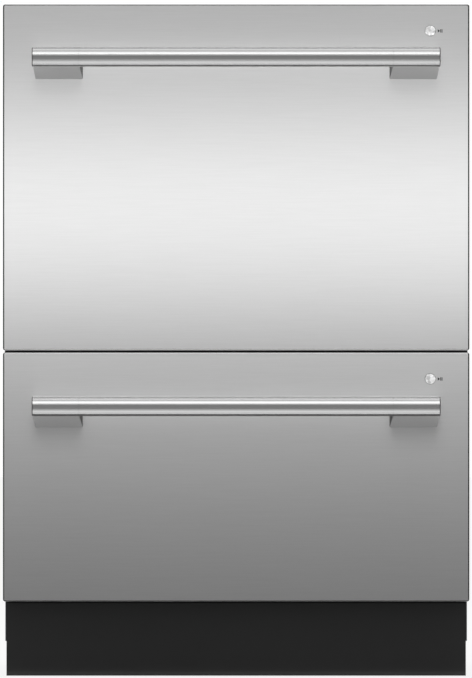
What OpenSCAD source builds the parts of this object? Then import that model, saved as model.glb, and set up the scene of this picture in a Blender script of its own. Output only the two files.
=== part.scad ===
// Built-in dishwasher with two drawers, one above the other. Sizes are in millimetres.
// X points to the right of someone who faces the fronts, Y to the back and Z up.
// The origin is on the floor, at the centre of the outline, and both drawers are shut.

/* [Drawer fronts] */
// Width of the two steel fronts
front_w = 599; // [580:1:640]
// Height of the upper front
upper_front_h = 444.5; // [436:0.5:500]
// Height of the lower front
lower_front_h = 320; // [314:0.5:360]
// Gap between the two fronts
front_gap = 2.5; // [2:0.5:6]
// Height of the lower front's bottom edge above the floor
kick_h = 97; // [92:1:120]
// Depth of the folded steel pan that makes a front
pan_depth = 18; // [17:0.5:24]
// Thickness of the front's steel sheet
pan_sheet = 1; // [0.6:0.1:1.5]
// Radius of a front's corners
pan_corner_r = 3; // [2:0.5:6]
// Depth of the narrow lip along a front's top edge
top_lip = 4.5; // [3:0.5:5]
// Wall of the moulded inner front behind the pan
inner_wall = 2.5; // [2:0.25:3]
// Pitch of the ribs inside the inner front
rib_pitch = 78; // [60:1:84]

/* [Handles] */
// Diameter of the handle bar
bar_d = 25.4; // [22:0.2:30]
// Distance of a handle's ends in from the front's sides
handle_inset = 38; // [20:1:70]
// Length of the sleeve at each end of a handle
sleeve_len = 60; // [40:1:80]
// Distance of the bar's axis below the front's top edge
handle_drop = 68.8; // [55:0.1:90]
// How far the bar's front stands out from the steel front
handle_reach = 60; // [48:1:75]
// Thickness of the bar's tube
bar_wall = 1.5; // [1:0.25:2.5]
// How far a post leans towards the middle, from the bar to the front
post_lean = 2.5; // [0:0.5:8]
// How far a post reaches below the bar where it meets the front
post_flare = 12.2; // [4:0.2:20]
// Chamfer on the outer end of a sleeve
sleeve_chamfer = 0.8; // [0.4:0.1:2]

/* [Controls] */
// Diameter of the start button
button_d = 14; // [10:0.5:20]
// Distance of the start button in from the front's right side
button_inset = 50.2; // [31:0.1:74]
// Distance of the start button below the front's top edge
button_drop = 33.3; // [27:0.1:40]
// Travel of the start button
button_travel = 1.2; // [0.8:0.1:2]
// How far the start button stands out of the front
button_proud = 0.8; // [0.4:0.1:1.5]
// Length of the control strip in the top edge
strip_w = 420; // [300:5:480]
// Width of the control strip, front to back
strip_d = 9; // [7:0.5:10]
// Height of the control strip
strip_t = 6; // [4:0.5:8]

/* [Cabinet] */
// How far the fronts stand out past the cabinet at each side
front_overhang = 2; // [1:0.5:4]
// Depth of the cabinet behind the fronts
cab_d = 553; // [545:1:600]
// Gap between the fronts and the cabinet
cab_gap = 2; // [1:0.5:4]
// Height of the upper front's top edge above the cabinet
cab_top_drop = 4; // [3:0.5:6]
// Thickness of the cabinet's sheet steel
cab_sheet = 1.2; // [0.8:0.1:1.5]
// Height of the base pan above the floor
base_clear = 45; // [38:1:50]
// Height of the base pan's flanges
base_flange = 25; // [15:1:30]
// Distance of the kick plate behind the fronts
kick_recess = 50; // [40:1:60]
// Depth of the service recess at the back
recess_d = 50; // [40:1:52]
// Height of the top of the service recess
recess_top = 130; // [125:1:140]
// Depth of the moulded trim on the cabinet's front edges
trim_t = 4; // [3:0.5:5]
// Height of the trim bar between the drawers
mid_bar_h = 15; // [12:1:16]

/* [Tubs] */
// Space below the upper tub for its wash motor
upper_motor_space = 50.8; // [46:0.1:80]
// Space below the lower tub for its wash motor and the services
lower_motor_space = 102.3; // [98:0.1:120]
// Space between a tub and the back of the cabinet
tub_back_gap = 55; // [51:1:70]
// Thickness of a tub's walls
tub_wall = 3; // [2.5:0.25:3.5]
// Outer radius of a tub's upright corners
tub_corner_r = 33; // [20:1:38]
// Distance of a tub's rim below the front's top edge
rim_drop = 38; // [37:0.5:40]
// How far the rim stands out from the walls
rim_out = 8; // [6:0.5:9]
// Thickness of the rim
rim_t = 4; // [3:0.5:6]
// Height of the posts that carry a rack above the tub floor
rack_post_h = 44; // [42:0.5:50]

/* [Lids] */
// How far a lid drops to seal its tub
lid_travel = 8; // [6:0.5:9]
// Width of the lid's rubber seal
seal_w = 7; // [5:0.5:8]
// Height of the lid's rubber seal
seal_h = 8; // [6:0.5:9]
// Thickness of the lid's plate
lid_t = 3; // [2:0.5:3]
// Height of the ribs on a lid
lid_rib_h = 9; // [6:0.5:10]
// Pitch of the ribs on a lid
lid_rib_pitch = 80; // [60:1:84]
// Diameter of a lid's lifting pins
lid_pin_d = 6; // [5:0.5:7]

/* [Runners] */
// Space at each side of a tub for its runner
rail_space = 16.3; // [15:0.1:18]
// Height of the fixed runner
rail_h = 46; // [40:1:52]
// Distance of the runners' back ends from the back of the cabinet
rail_back_gap = 43; // [20:1:70]
// Thickness of the runner's steel
rail_sheet = 1.5; // [1.2:0.1:1.6]
// Clearance between runner members for their balls
rail_gap = 1.2; // [0.8:0.1:1.5]
// Distance of a runner's centre below the tub's rim
rail_drop = 120; // [80:1:130]

/* [Wash system] */
// Gap between a spray arm's tips and the tub's front and back walls
arm_gap = 32; // [28:1:60]
// Thickness of a spray arm
arm_t = 14; // [10:0.5:16]
// Diameter of the spray arm's spindle
spindle_d = 16; // [12:0.5:18]
// Diameter of the wash motor
motor_d = 112; // [90:1:120]
// Height of the wash motor below the tub
motor_h = 40; // [30:1:42]
// Diameter of the drain filter
filter_d = 54; // [44:1:60]
// Depth of the drain well below the tub floor
well_depth = 26; // [20:1:32]
// Distance of the drain filter in front of the spray arm's axis
filter_offset = 130; // [105:1:150]

/* [Dish racks] */
// Height of the upper rack
upper_rack_h = 170; // [150:1:200]
// Height of the lower rack
lower_rack_h = 140; // [138:1:150]
// Diameter of the rack's wire
wire_d = 4.4; // [3.6:0.2:5]
// Diameter of the rack's rim wire
rim_wire_d = 6; // [5:0.2:7]
// Diameter of the tines
tine_d = 3.6; // [3:0.2:4]
// Height of the tines above their wire
tine_h = 85; // [60:1:90]
// Distance of the outer cross wires from the rack's front and back
cross_inset = 29; // [26:1:40]
// Distance of the outer long wires from the rack's sides
long_inset = 31; // [26:1:40]
// Radius of the bends in the rack's wire
bend_r = 14; // [10:1:20]
// Radius of the bends in the rack's rim
rim_bend_r = 25; // [18:1:30]
// Gap between the rack and the tub's side walls
rack_side_gap = 14; // [8:1:18]
// Gap between the rack and the tub's front wall
rack_front_gap = 36; // [34:1:42]
// Gap between the rack and the tub's back wall
rack_back_gap = 8; // [6:1:14]
// Width of the cup shelf in the upper rack
cup_shelf_w = 115; // [80:1:125]
// Height of the cup shelf above the rack's base
cup_shelf_z = 125; // [110:1:140]

/* [Cutlery basket] */
// Width of a cutlery basket
basket_w = 66; // [50:1:74]
// Length of a cutlery basket, front to back
basket_len = 226; // [180:1:260]
// Height of a cutlery basket's walls
basket_h = 104; // [80:1:108]
// Thickness of a cutlery basket's walls
basket_wall = 2; // [1.5:0.25:3]
// Gap between a cutlery basket and the rack's right side
basket_gap = 27; // [18:1:34]

/* [Dispenser] */
// Width of the detergent dispenser
disp_w = 220; // [210:1:240]
// Height of the detergent dispenser
disp_h = 92; // [88:1:100]
// Depth of the detergent dispenser's body
disp_t = 21; // [18:0.5:23]
// Distance of the dispenser's top below the tub's rim
disp_drop = 30; // [20:1:40]
// Side of the square detergent cup
cup_side = 60; // [50:1:62]
// Overlap of the sliding door on each side of the cup
door_lap = 5; // [3:0.5:6]
// Thickness of the sliding door
door_t = 3; // [2:0.5:3]
// Diameter of the rinse aid cap
cap_d = 34; // [28:1:40]

/* [Feet] */
// Diameter of a foot's pad
pad_d = 40; // [30:1:50]
// Height of a foot's pad
pad_h = 8; // [6:1:12]
// Diameter of a foot's threaded stud
stud_d = 12; // [10:1:14]
// How far a foot can be wound out
foot_travel = 45; // [20:1:45]
// Distance of the feet in from the cabinet's sides
foot_inset = 42; // [40:1:60]

/* [Services] */
// Outer diameter of the water inlet's thread
inlet_d = 26.4; // [20:0.1:27]
// Outer diameter of the drain spigot
drain_d = 19; // [16:0.5:24]
// Diameter of the hole in the cable gland
gland_hole_d = 9; // [7:0.5:12]
// Length of the ports that stand out in the service recess
port_len = 24; // [18:1:30]
// Distance between the water inlet and the drain spigot
port_pitch = 65; // [55:1:90]
// Height of the ports above the base pan
port_rise = 42; // [42:1:50]
// Diameter of the cabinet's fixing holes
fix_hole_d = 4.5; // [4:0.1:6]
// Distance of the upper fixing holes below the cabinet's top
fix_drop = 60; // [50:1:90]
// Distance between the upper and lower fixing holes
fix_span = 620; // [590:1:640]

/* [Hidden] */
$fn = 48;
eps = 0.01;
clear = 0.3;          // clearance between bodies that move past each other
run = 0.05;           // radial clearance of a shaft in its bore
LOWER = 0;
UPPER = 1;

// Depths, from the handle bar's front to the cabinet's back
total_d = handle_reach + pan_depth + cab_gap + cab_d;
face_y = handle_reach - total_d / 2;
pan_y1 = face_y + pan_depth;
cab_y0 = pan_y1 + cab_gap;
cab_y1 = cab_y0 + cab_d;
sheet_y0 = cab_y0 + trim_t;
kick_t = 1.2;
kick_flange = 14;     // depth of the kick plate's folded top edge
kick_y0 = face_y + kick_recess;
base_y0 = kick_y0 + kick_t;
recess_y = cab_y1 - recess_d;

// Heights
function front_z0(d) = kick_h + d * (lower_front_h + front_gap);
function front_h(d) = d == UPPER ? upper_front_h : lower_front_h;
function front_z1(d) = front_z0(d) + front_h(d);
function rim_z(d) = front_z1(d) - rim_drop;
cab_z1 = front_z1(UPPER) - cab_top_drop;
base_z1 = base_clear + cab_sheet;
mid_bar_z1 = front_z1(LOWER) + front_gap + 5.5;
shelf_z = mid_bar_z1 - 2;
function tub_z0(d) = d == UPPER ? shelf_z + cab_sheet + upper_motor_space : base_z1 + lower_motor_space;
function tub_h(d) = rim_z(d) - tub_z0(d);
function floor_z(d) = tub_z0(d) + tub_wall;

bead_w = 60;
bead_margin = 101.5;  // distance of the side beads' ends from the panel's ends

// Widths
cab_x = front_w / 2 - front_overhang;
in_x = cab_x - cab_sheet;
tub_x = in_x - rail_space;
tub_y0 = pan_y1;
tub_y1 = cab_y1 - tub_back_gap;
tub_d = tub_y1 - tub_y0;
tub_yc = (tub_y0 + tub_y1) / 2;
tub_in_x = tub_x - tub_wall;
tub_in_y0 = tub_y0 + tub_wall;
tub_in_y1 = tub_y1 - tub_wall;

// Handle
handle_len = front_w - 2 * handle_inset;
bar_r = bar_d / 2;
bar_y = face_y - handle_reach + bar_r;
bar_bore_r = bar_r - bar_wall;
spigot_len = 25;
function bar_z(d) = front_z1(d) - handle_drop;

// Controls
button_x = front_w / 2 - button_inset;
button_r = button_d / 2;
button_gap = 0.35;
button_collar = 1.2;
button_len = 6;
strip_lip = 1.5;      // how far the control strip lies below the front's top edge
function button_z(d) = front_z1(d) - button_drop;

// Lids
seal_gap = lid_travel + clear;
lid_edge_t = 2.5;     // thickness of the edge that stands up all round a lid
seal_x1 = tub_x + rim_out - 2;
seal_y0 = cab_y0 + clear + lid_edge_t + clear;
seal_y1 = tub_y1 + rim_out - 2;
front_rim = seal_y0 + seal_w + 0.6 - tub_y0;   // width of the rim along the tub's front wall
function seal_z(d) = rim_z(d) + seal_gap;
function lid_z(d) = seal_z(d) + seal_h;
lid_pin_x = in_x - 4.5;
lid_pin_rise = 5;     // height of a lifting pin's axis above the underside of the lid's plate
lid_pin_dy = 150;     // distance of the lifting pins from the tub's middle
actuator_len = 30;

// Runners
fixed_half = rail_h / 2;
mid_half = fixed_half - rail_sheet - rail_gap;
inner_half = mid_half - rail_sheet - rail_gap;
rail_side_gap = 0.5;
mid_x1 = in_x - rail_sheet - rail_side_gap;
inner_x1 = mid_x1 - rail_sheet - rail_side_gap;
rail_flange = 10;
rail_setback = 10;
rail_y0 = cab_y0 + rail_setback;
rail_len = cab_y1 - rail_back_gap - rail_y0;
function rail_z(d) = rim_z(d) - rail_drop;

// Wash system
plate_t = 3;
plate_inset = 50;
motor_hub_r = 17;
tub_hole_r = motor_hub_r + clear;
plate_hole_r = motor_hub_r + 3;
motor_hub_h = 10;
motor_flange_r = motor_d / 2 + 12;
motor_flange_t = 4;
well_r = filter_d / 2 + 4;
arm_len = tub_d / 2 - tub_wall - arm_gap;
arm_hub_r = 24;
arm_rise = 16;        // height of the blades above the tub floor
arm_hub_h = 25;
spindle_r = spindle_d / 2;
filter_y = tub_yc - filter_offset;

// Dish racks
wire_r = wire_d / 2;
rim_wire_r = rim_wire_d / 2;
tine_r = tine_d / 2;
weld = 0.6;           // how deep one wire is welded into another
rack_x = tub_in_x - rack_side_gap;
rack_y0 = tub_in_y0 + rack_front_gap;
rack_y1 = tub_in_y1 - rack_back_gap;
rack_yc = (rack_y0 + rack_y1) / 2;
cross_n = 8;
long_n = 9;
tine_n = 14;
cross_pitch = (rack_y1 - rack_y0 - 2 * cross_inset) / (cross_n - 1);
long_pitch = 2 * (rack_x - long_inset) / (long_n - 1);
tine_pitch = cross_pitch / 2;
fixed_tine_wires = [3, 5, 6];
clip_r = 5;
clip_len = 8;
fold_x = -2.5 * long_pitch;
fold_rise = 12;       // height of the folding tines' rod above the rack's base
cup_hinge_inset = 10;
cup_hinge_x = -rack_x + cup_hinge_inset;
clip_wires = [1, 6];
function rack_z(d) = floor_z(d) + rack_post_h;
function rack_h(d) = d == UPPER ? upper_rack_h : lower_rack_h;
function cross_y(i) = rack_yc + (i - (cross_n - 1) / 2) * cross_pitch;
function long_x(i) = (i - (long_n - 1) / 2) * long_pitch;
function tine_y(i) = rack_yc + (i - (tine_n - 1) / 2) * tine_pitch;
rack_post_x = rack_x - bend_r - 8;
mid_wire_z = 72;      // height of the wire round the middle of a rack's sides
rack_base_h = 2 * wire_d - weld;
basket_x = rack_x - basket_gap - basket_w / 2;

// Dispenser
disp_y0 = tub_in_y0;
disp_face = disp_y0 + disp_t;
door_side = cup_side + 2 * door_lap;
door_travel = door_side - 2;
track_t = 5;
track_lip = 2;
door_x = -disp_w / 2 + 10 + door_side / 2;
cap_x = disp_w / 2 - 14 - cap_d / 2;
cap_stem_r = 10;
cap_stem_len = 12;
function disp_z1(d) = rim_z(d) - disp_drop;
function disp_zc(d) = disp_z1(d) - disp_h / 2;

// Feet
foot_x = cab_x - foot_inset;
foot_front_y = base_y0 + 34;
foot_back_y = recess_y - 36;
stud_r = stud_d / 2;
boss_r = stud_r + 6;
boss_h = 14;

// Services
inlet_x = foot_x - boss_r - 22;
drain_x = inlet_x - port_pitch;
power_x = -(foot_x - boss_r - 38);
service_z = base_z1 + port_rise;
power_z0 = base_clear + base_flange + 1;
port_fit = 2;
seam = 0.05;          // gap between sheets that are folded apart and riveted together

// ---- Shared shapes ----

// A box given by its lowest and highest corners
module box(p, q) translate(p) cube(q - p);

// A rectangle with round corners, centred on the origin
module rounded(w, d, r) {
    square([w - 2 * r, d], center = true);
    square([w, d - 2 * r], center = true);
    for (x = [-1, 1], y = [-1, 1]) translate([x * (w / 2 - r), y * (d / 2 - r)]) circle(r);
}

// An outline drawn in X and Z, t thick, with its front at y
module upright(y, t) translate([0, y + t, 0]) rotate([90, 0, 0]) linear_extrude(t) children();

// An outline drawn in Y and Z, swept along X from x0 to x1
module swept_x(x0, x1) translate([x0, 0, 0]) rotate([90, 0, 90]) linear_extrude(x1 - x0) children();

// Both sides: the shape on the right and its mirror image on the left
module both_sides() {
    children();
    mirror([1, 0, 0]) children();
}

module rod_x(x0, x1, y, z, r) translate([x0, y, z]) rotate([0, 90, 0]) cylinder(x1 - x0, r, r);
module rod_y(y0, y1, x, z, r) translate([x, y0, z]) rotate([-90, 0, 0]) cylinder(y1 - y0, r, r);
module rod_z(z0, z1, x, y, r) translate([x, y, z0]) cylinder(z1 - z0, r, r);

// ---- Cabinet ----

module side_outline() polygon([
    [sheet_y0, kick_h], [sheet_y0, cab_z1], [cab_y1, cab_z1],
    [cab_y1, base_clear], [base_y0, base_clear], [base_y0, kick_h]
]);

// Two pressed beads that stiffen a side, 1 mm proud
module side_beads() for (y = [-0.25, 0.25])
    translate([0, (sheet_y0 + cab_y1) / 2 + y * cab_d, (kick_h + cab_z1) / 2])
        rotate([90, 0, 90]) linear_extrude(1) rounded(bead_w, cab_z1 - kick_h - 2 * bead_margin, 20);

module side_panel() color("lightgray") difference() {
    union() {
        swept_x(in_x, cab_x) side_outline();
        translate([cab_x - eps, 0, 0]) side_beads();
    }
    for (z = [cab_z1 - fix_drop, cab_z1 - fix_drop - fix_span])
        rod_x(in_x - 1, cab_x + 3, sheet_y0 + 14, z, fix_hole_d / 2);
}

module top_panel() color("lightgray") {
    box([-in_x, sheet_y0, cab_z1 - cab_sheet], [in_x, cab_y1 - cab_sheet, cab_z1]);
    for (x = [-150, 0, 150]) translate([x, (sheet_y0 + cab_y1) / 2, cab_z1 - eps])
        linear_extrude(1.5) rounded(40, cab_d - 120, 15);
}

// The back is three sheets: the wall with its vents, a ledge, and below it the plate with
// the ports, which stands further forward and so makes the service recess
module back_panel() color("lightgray") {
    difference() {
        box([-in_x, cab_y1 - cab_sheet, recess_top + seam], [in_x, cab_y1, cab_z1]);
        for (x = [-3:3], z = [0:2])
            box([x * 26 - 8, cab_y1 - 5, cab_z1 - 90 + z * 14], [x * 26 + 8, cab_y1 + 1, cab_z1 - 85 + z * 14]);
    }
    box([-in_x, recess_y - cab_sheet, recess_top - cab_sheet], [in_x, cab_y1, recess_top]);
    difference() {
        box([-in_x, recess_y - cab_sheet, base_z1], [in_x, recess_y, recess_top - cab_sheet - seam]);
        rod_y(recess_y - 5, recess_y + 5, inlet_x, service_z, inlet_d / 2 + port_fit);
        rod_y(recess_y - 5, recess_y + 5, drain_x, service_z, drain_d / 2 + port_fit);
        rod_y(recess_y - 5, recess_y + 5, power_x, service_z, gland_hole_d / 2 + 4.5 + port_fit);
    }
}

module base_pan() color("silver") difference() {
    union() {
        box([-in_x, base_y0, base_clear], [in_x, recess_y, base_z1]);
        for (y = [base_y0, recess_y - 2 * cab_sheet])
            box([-in_x, y, base_clear], [in_x, y + cab_sheet, base_clear + base_flange]);
        for (x = [-1, 1], y = [foot_front_y, foot_back_y])
            rod_z(base_clear, base_z1 + boss_h, x * foot_x, y, boss_r);
    }
    for (x = [-1, 1], y = [foot_front_y, foot_back_y])
        rod_z(base_clear - 1, base_z1 + boss_h + 1, x * foot_x, y, stud_r + run);
}

// The shelf divides the drawers, and its turned-down edges stiffen it
module middle_shelf() color("silver") {
    box([-in_x, sheet_y0, shelf_z], [in_x, tub_y1, shelf_z + cab_sheet]);
    for (y = [sheet_y0, tub_y1 - cab_sheet])
        box([-in_x, y, shelf_z - 10], [in_x, y + cab_sheet, shelf_z + cab_sheet]);
}

module front_trim() color("black") {
    both_sides() box([in_x - 1.3, cab_y0, kick_h], [cab_x, sheet_y0, cab_z1]);
    box([-cab_x, cab_y0, cab_z1 - 2.7], [cab_x, sheet_y0, cab_z1]);
    box([-cab_x, cab_y0, mid_bar_z1 - mid_bar_h], [cab_x, sheet_y0, mid_bar_z1]);
    box([-cab_x, cab_y0, kick_h], [cab_x, sheet_y0, kick_h + 3]);
    box([-in_x, sheet_y0 - eps, kick_h], [in_x, base_y0 + 12, kick_h + 3]);
}

module toe_kick() color("black") {
    box([-in_x + clear, kick_y0, 2], [in_x - clear, kick_y0 + kick_t, kick_h - 1]);
    box([-in_x + clear, kick_y0, kick_h - 1 - kick_t], [in_x - clear, kick_y0 + kick_flange, kick_h - 1]);
}

// ---- Feet ----

module foot(side, y) color("dimgray") {
    rod_z(0, pad_h, side * foot_x, y, pad_d / 2);
    rod_z(pad_h - eps, pad_h + 5, side * foot_x, y, stud_r + 4);
    rod_z(pad_h, base_z1 + boss_h + foot_travel, side * foot_x, y, stud_r);
}

// ---- Services at the back ----

module inlet_valve() color("white") difference() {
    union() {
        box([inlet_x - 15, recess_y - cab_sheet - 34, service_z - 18], [inlet_x + 15, recess_y - cab_sheet, service_z + 18]);
        rod_z(service_z + 18, service_z + 34, inlet_x, recess_y - 20, 13);
        rod_y(recess_y - cab_sheet - eps, recess_y + port_len, inlet_x, service_z, inlet_d / 2);
    }
    rod_y(recess_y - 10, recess_y + port_len + 1, inlet_x, service_z, 8);
}

module drain_connector() color("gray") difference() {
    union() {
        box([drain_x - 18, recess_y - cab_sheet - 5, service_z - 18], [drain_x + 18, recess_y - cab_sheet, service_z + 18]);
        rod_y(recess_y - cab_sheet - eps, recess_y + port_len, drain_x, service_z, drain_d / 2);
    }
    rod_y(recess_y - cab_sheet - 6, recess_y + port_len + 1, drain_x, service_z, drain_d / 2 - 2.5);
}

module power_inlet() color("black") difference() {
    union() {
        box([power_x - 32, recess_y - cab_sheet - 40, power_z0], [power_x + 32, recess_y - cab_sheet, service_z + 24]);
        rod_y(recess_y - cab_sheet - eps, recess_y + 14, power_x, service_z, gland_hole_d / 2 + 4.5);
    }
    rod_y(recess_y - 20, recess_y + 15, power_x, service_z, gland_hole_d / 2);
}

// ---- Lids ----

module lid_outline(inset) translate([0, (seal_y0 + seal_y1) / 2])
    rounded(2 * (seal_x1 - inset), seal_y1 - seal_y0 - 2 * inset, tub_corner_r - inset);

module lid_seal(d) color("dimgray") translate([0, 0, seal_z(d)]) linear_extrude(seal_h) difference() {
    lid_outline(0);
    lid_outline(seal_w);
}

module lid(d) color("gainsboro") {
    translate([0, 0, lid_z(d)]) linear_extrude(lid_t) lid_outline(-clear - lid_edge_t);
    translate([0, 0, lid_z(d) + lid_t - eps]) linear_extrude(lid_rib_h) difference() {
        lid_outline(-clear - lid_edge_t);
        lid_outline(-clear);
    }
    for (i = [-2.5:2.5])
        box([-seal_x1 + 8, tub_yc + i * lid_rib_pitch - 1.25, lid_z(d) + lid_t - eps],
            [seal_x1 - 8, tub_yc + i * lid_rib_pitch + 1.25, lid_z(d) + lid_t + lid_rib_h]);
    for (i = [-3:3])
        box([i * lid_rib_pitch - 1.25, seal_y0 + 10, lid_z(d) + lid_t - eps],
            [i * lid_rib_pitch + 1.25, seal_y1 - 10, lid_z(d) + lid_t + lid_rib_h]);
    both_sides() for (y = [-lid_pin_dy, lid_pin_dy]) {
        box([seal_x1 - 12, tub_yc + y - 5, lid_z(d) + lid_t - eps],
            [seal_x1 - 2, tub_yc + y + 5, lid_z(d) + lid_t + lid_rib_h]);
        rod_x(seal_x1 - 4, lid_pin_x, tub_yc + y, lid_z(d) + lid_pin_rise, lid_pin_d / 2);
    }
}

// Each actuator holds one lifting pin in an upright slot and winds it down
module lid_actuator(d, y) {
    z = lid_z(d) + lid_pin_rise;
    r = lid_pin_d / 2 + clear;
    difference() {
        box([seal_x1 + lid_edge_t + 2, y - actuator_len / 2, rim_z(d) + 3], [in_x, y + actuator_len / 2, z + 8]);
        box([seal_x1, y - r, z - lid_travel - r], [lid_pin_x + clear, y + r, z + r]);
    }
}

module lid_actuators() color("white") for (d = [LOWER, UPPER], y = [-lid_pin_dy, lid_pin_dy])
    both_sides() lid_actuator(d, tub_yc + y);

// ---- Runners ----

// A channel with its web at x1, its flanges reaching inwards by w
module channel(x1, half, w) {
    translate([x1 - rail_sheet, -half]) square([rail_sheet, 2 * half]);
    for (z = [-half, half - rail_sheet]) translate([x1 - w, z]) square([w, rail_sheet]);
}

module fixed_rails() color("silver") for (d = [LOWER, UPPER]) both_sides()
    translate([0, 0, rail_z(d)]) upright(rail_y0, rail_len) channel(in_x, fixed_half, rail_flange);

module mid_rails(d) color("silver") both_sides()
    translate([0, 0, rail_z(d)]) upright(rail_y0, rail_len) channel(mid_x1, mid_half, rail_flange);

// The inner member is screwed to the tub, so its web lies on the tub's wall
module tub_rails(d) color("silver") both_sides() translate([0, 0, rail_z(d)])
    upright(rail_y0, rail_len - 20) {
        translate([tub_x, -inner_half]) square([rail_sheet, 2 * inner_half]);
        for (z = [-inner_half, inner_half - rail_sheet])
            translate([tub_x, z]) square([inner_x1 - tub_x, rail_sheet]);
    }

// ---- Tubs ----

module tub_outline(grow) translate([0, tub_yc]) rounded(2 * (tub_x + grow), tub_d + 2 * grow, tub_corner_r + grow);

// The rim stands out at the sides and back, and reaches inwards along the front
module rim_outline() difference() {
    translate([0, (tub_y0 + tub_y1 + rim_out) / 2])
        rounded(2 * (tub_x + rim_out), tub_d + rim_out, tub_corner_r);
    translate([0, (tub_y0 + front_rim + tub_in_y1) / 2])
        rounded(2 * tub_in_x, tub_in_y1 - tub_y0 - front_rim, tub_corner_r - tub_wall);
}

module tub(d) color("whitesmoke") difference() {
    union() {
        difference() {
            translate([0, 0, tub_z0(d)]) linear_extrude(tub_h(d) - rim_t + eps) tub_outline(0);
            translate([0, 0, floor_z(d)]) linear_extrude(tub_h(d)) tub_outline(-tub_wall);
        }
        translate([0, 0, rim_z(d) - rim_t]) linear_extrude(rim_t) rim_outline();
        for (x = [-1, 1], i = [0, cross_n - 1])
            rod_z(floor_z(d) - 1, rack_z(d) - clear, x * rack_post_x, cross_y(i), 8);
        rod_z(tub_z0(d) - well_depth, floor_z(d), 0, filter_y, well_r + tub_wall);
        for (i = [-1:1]) let (x = i * tub_x * 4 / 7)
            box([x - 1.5, tub_y1 - 1, tub_z0(d) + 30], [x + 1.5, tub_y1 + 6, rim_z(d) - rim_t + 1]);
    }
    rod_z(tub_z0(d) - well_depth + tub_wall, floor_z(d) + 1, 0, filter_y, well_r);
    rod_z(tub_z0(d) - 1, floor_z(d) + 1, 0, tub_yc, tub_hole_r);
}

// ---- Drawer fronts ----

module front_outline(d, inset) translate([0, front_z0(d) + front_h(d) / 2])
    rounded(front_w - 2 * inset, front_h(d) - 2 * inset, pan_corner_r - inset * 0.99);

module front_panel(d) color("silver") difference() {
    upright(face_y, pan_depth) front_outline(d, 0);
    upright(face_y + pan_sheet, pan_depth) front_outline(d, pan_sheet);
    box([-front_w / 2 + 12, face_y + top_lip, front_z1(d) - pan_sheet - 1],
        [front_w / 2 - 12, pan_y1 + 1, front_z1(d) + 1]);
    rod_y(face_y - 1, face_y + pan_sheet + 1, button_x, button_z(d), button_r + button_gap);
}

module inner_outline(d, inset) translate([0, front_z0(d) + front_h(d) / 2])
    rounded(front_w - 2 * (pan_sheet + clear + inset), front_h(d) - 2 * (pan_sheet + clear + inset),
        pan_corner_r - pan_sheet);

module inner_front(d) color("gray") {
    y0 = face_y + pan_sheet;
    y1 = pan_y1 - inner_wall;
    strip_y0 = face_y + top_lip + clear;
    z1 = front_z1(d) - pan_sheet - clear;
    floor_y = y1 + 0.5;
    difference() {
        union() {
            upright(y1, inner_wall) inner_outline(d, 0);
            upright(y0, y1 - y0 + eps) difference() {
                inner_outline(d, 0);
                inner_outline(d, inner_wall);
            }
            box([-strip_w / 2 - 5, y0, z1 - strip_t - 5], [strip_w / 2 + 5, pan_y1, z1]);
            for (x = [-1, 1], z = [-12, 12])
                rod_y(y0, floor_y, x * (handle_len - sleeve_len) / 2, bar_z(d) + z, 7);
            rod_y(y0, floor_y, button_x, button_z(d), button_r + 5);
            for (z = [rib_pitch:rib_pitch:front_h(d) - 60])
                box([-front_w / 2 + 5, y0 + 3, front_z0(d) + z - 1], [front_w / 2 - 5, floor_y, front_z0(d) + z + 1]);
            for (i = [-3:3])
                box([i * rib_pitch - 1, y0 + 3, front_z0(d) + 4], [i * rib_pitch + 1, floor_y, z1 - strip_t - 3]);
        }
        box([-strip_w / 2 - clear, strip_y0 - clear, z1 - strip_t], [strip_w / 2 + clear, strip_y0 + strip_d + clear, z1 + 1]);
        rod_y(y0 - 1, y0 + button_len + button_travel + 1, button_x, button_z(d), button_r + button_collar + 0.6);
    }
}

module control_strip(d) color("black") {
    z1 = front_z1(d) - strip_lip;
    y0 = face_y + top_lip + clear;
    box([-strip_w / 2, y0, z1 - strip_t + 0.2], [strip_w / 2, y0 + strip_d, z1]);
}

module start_button(d) color("white") {
    rod_y(face_y - button_proud, face_y + pan_sheet + clear + 1, button_x, button_z(d), button_r);
    rod_y(face_y + pan_sheet + clear, face_y + pan_sheet + button_len - 2, button_x, button_z(d), button_r + button_collar);
}

// ---- Handles ----

module handle_bar(d) color("gainsboro") {
    half = handle_len / 2 - sleeve_len - clear / 2;
    difference() {
        rod_x(-half, half, bar_y, bar_z(d), bar_r);
        rod_x(-half - 1, half + 1, bar_y, bar_z(d), bar_bore_r);
    }
}

// The sleeve is turned with a chamfered end, and its spigot goes into the bar
module sleeve() rotate_extrude() polygon([
    [0, 0], [bar_r - sleeve_chamfer, 0], [bar_r, sleeve_chamfer], [bar_r, sleeve_len - clear / 2],
    [bar_bore_r - run, sleeve_len - clear / 2], [bar_bore_r - run, sleeve_len + spigot_len],
    [0, sleeve_len + spigot_len]
]);

module post_side() polygon([
    [bar_y, bar_r * 0.55], [face_y, bar_r * 0.4], [face_y, -bar_r - post_flare], [bar_y, -bar_r + 0.4]
]);

module post_plan() polygon([
    [handle_len / 2 - sleeve_chamfer, bar_y], [handle_len / 2 - sleeve_len, bar_y],
    [handle_len / 2 - sleeve_len - post_lean, face_y], [handle_len / 2 - sleeve_chamfer - post_lean, face_y]
]);

module handle_post() {
    translate([handle_len / 2, bar_y, 0]) rotate([0, -90, 0]) sleeve();
    intersection() {
        swept_x(0, handle_len) post_side();
        translate([0, 0, -50]) linear_extrude(100) post_plan();
    }
}

module handle_posts(d) color("gainsboro") translate([0, 0, bar_z(d)]) both_sides() handle_post();

// ---- Wash system ----

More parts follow.
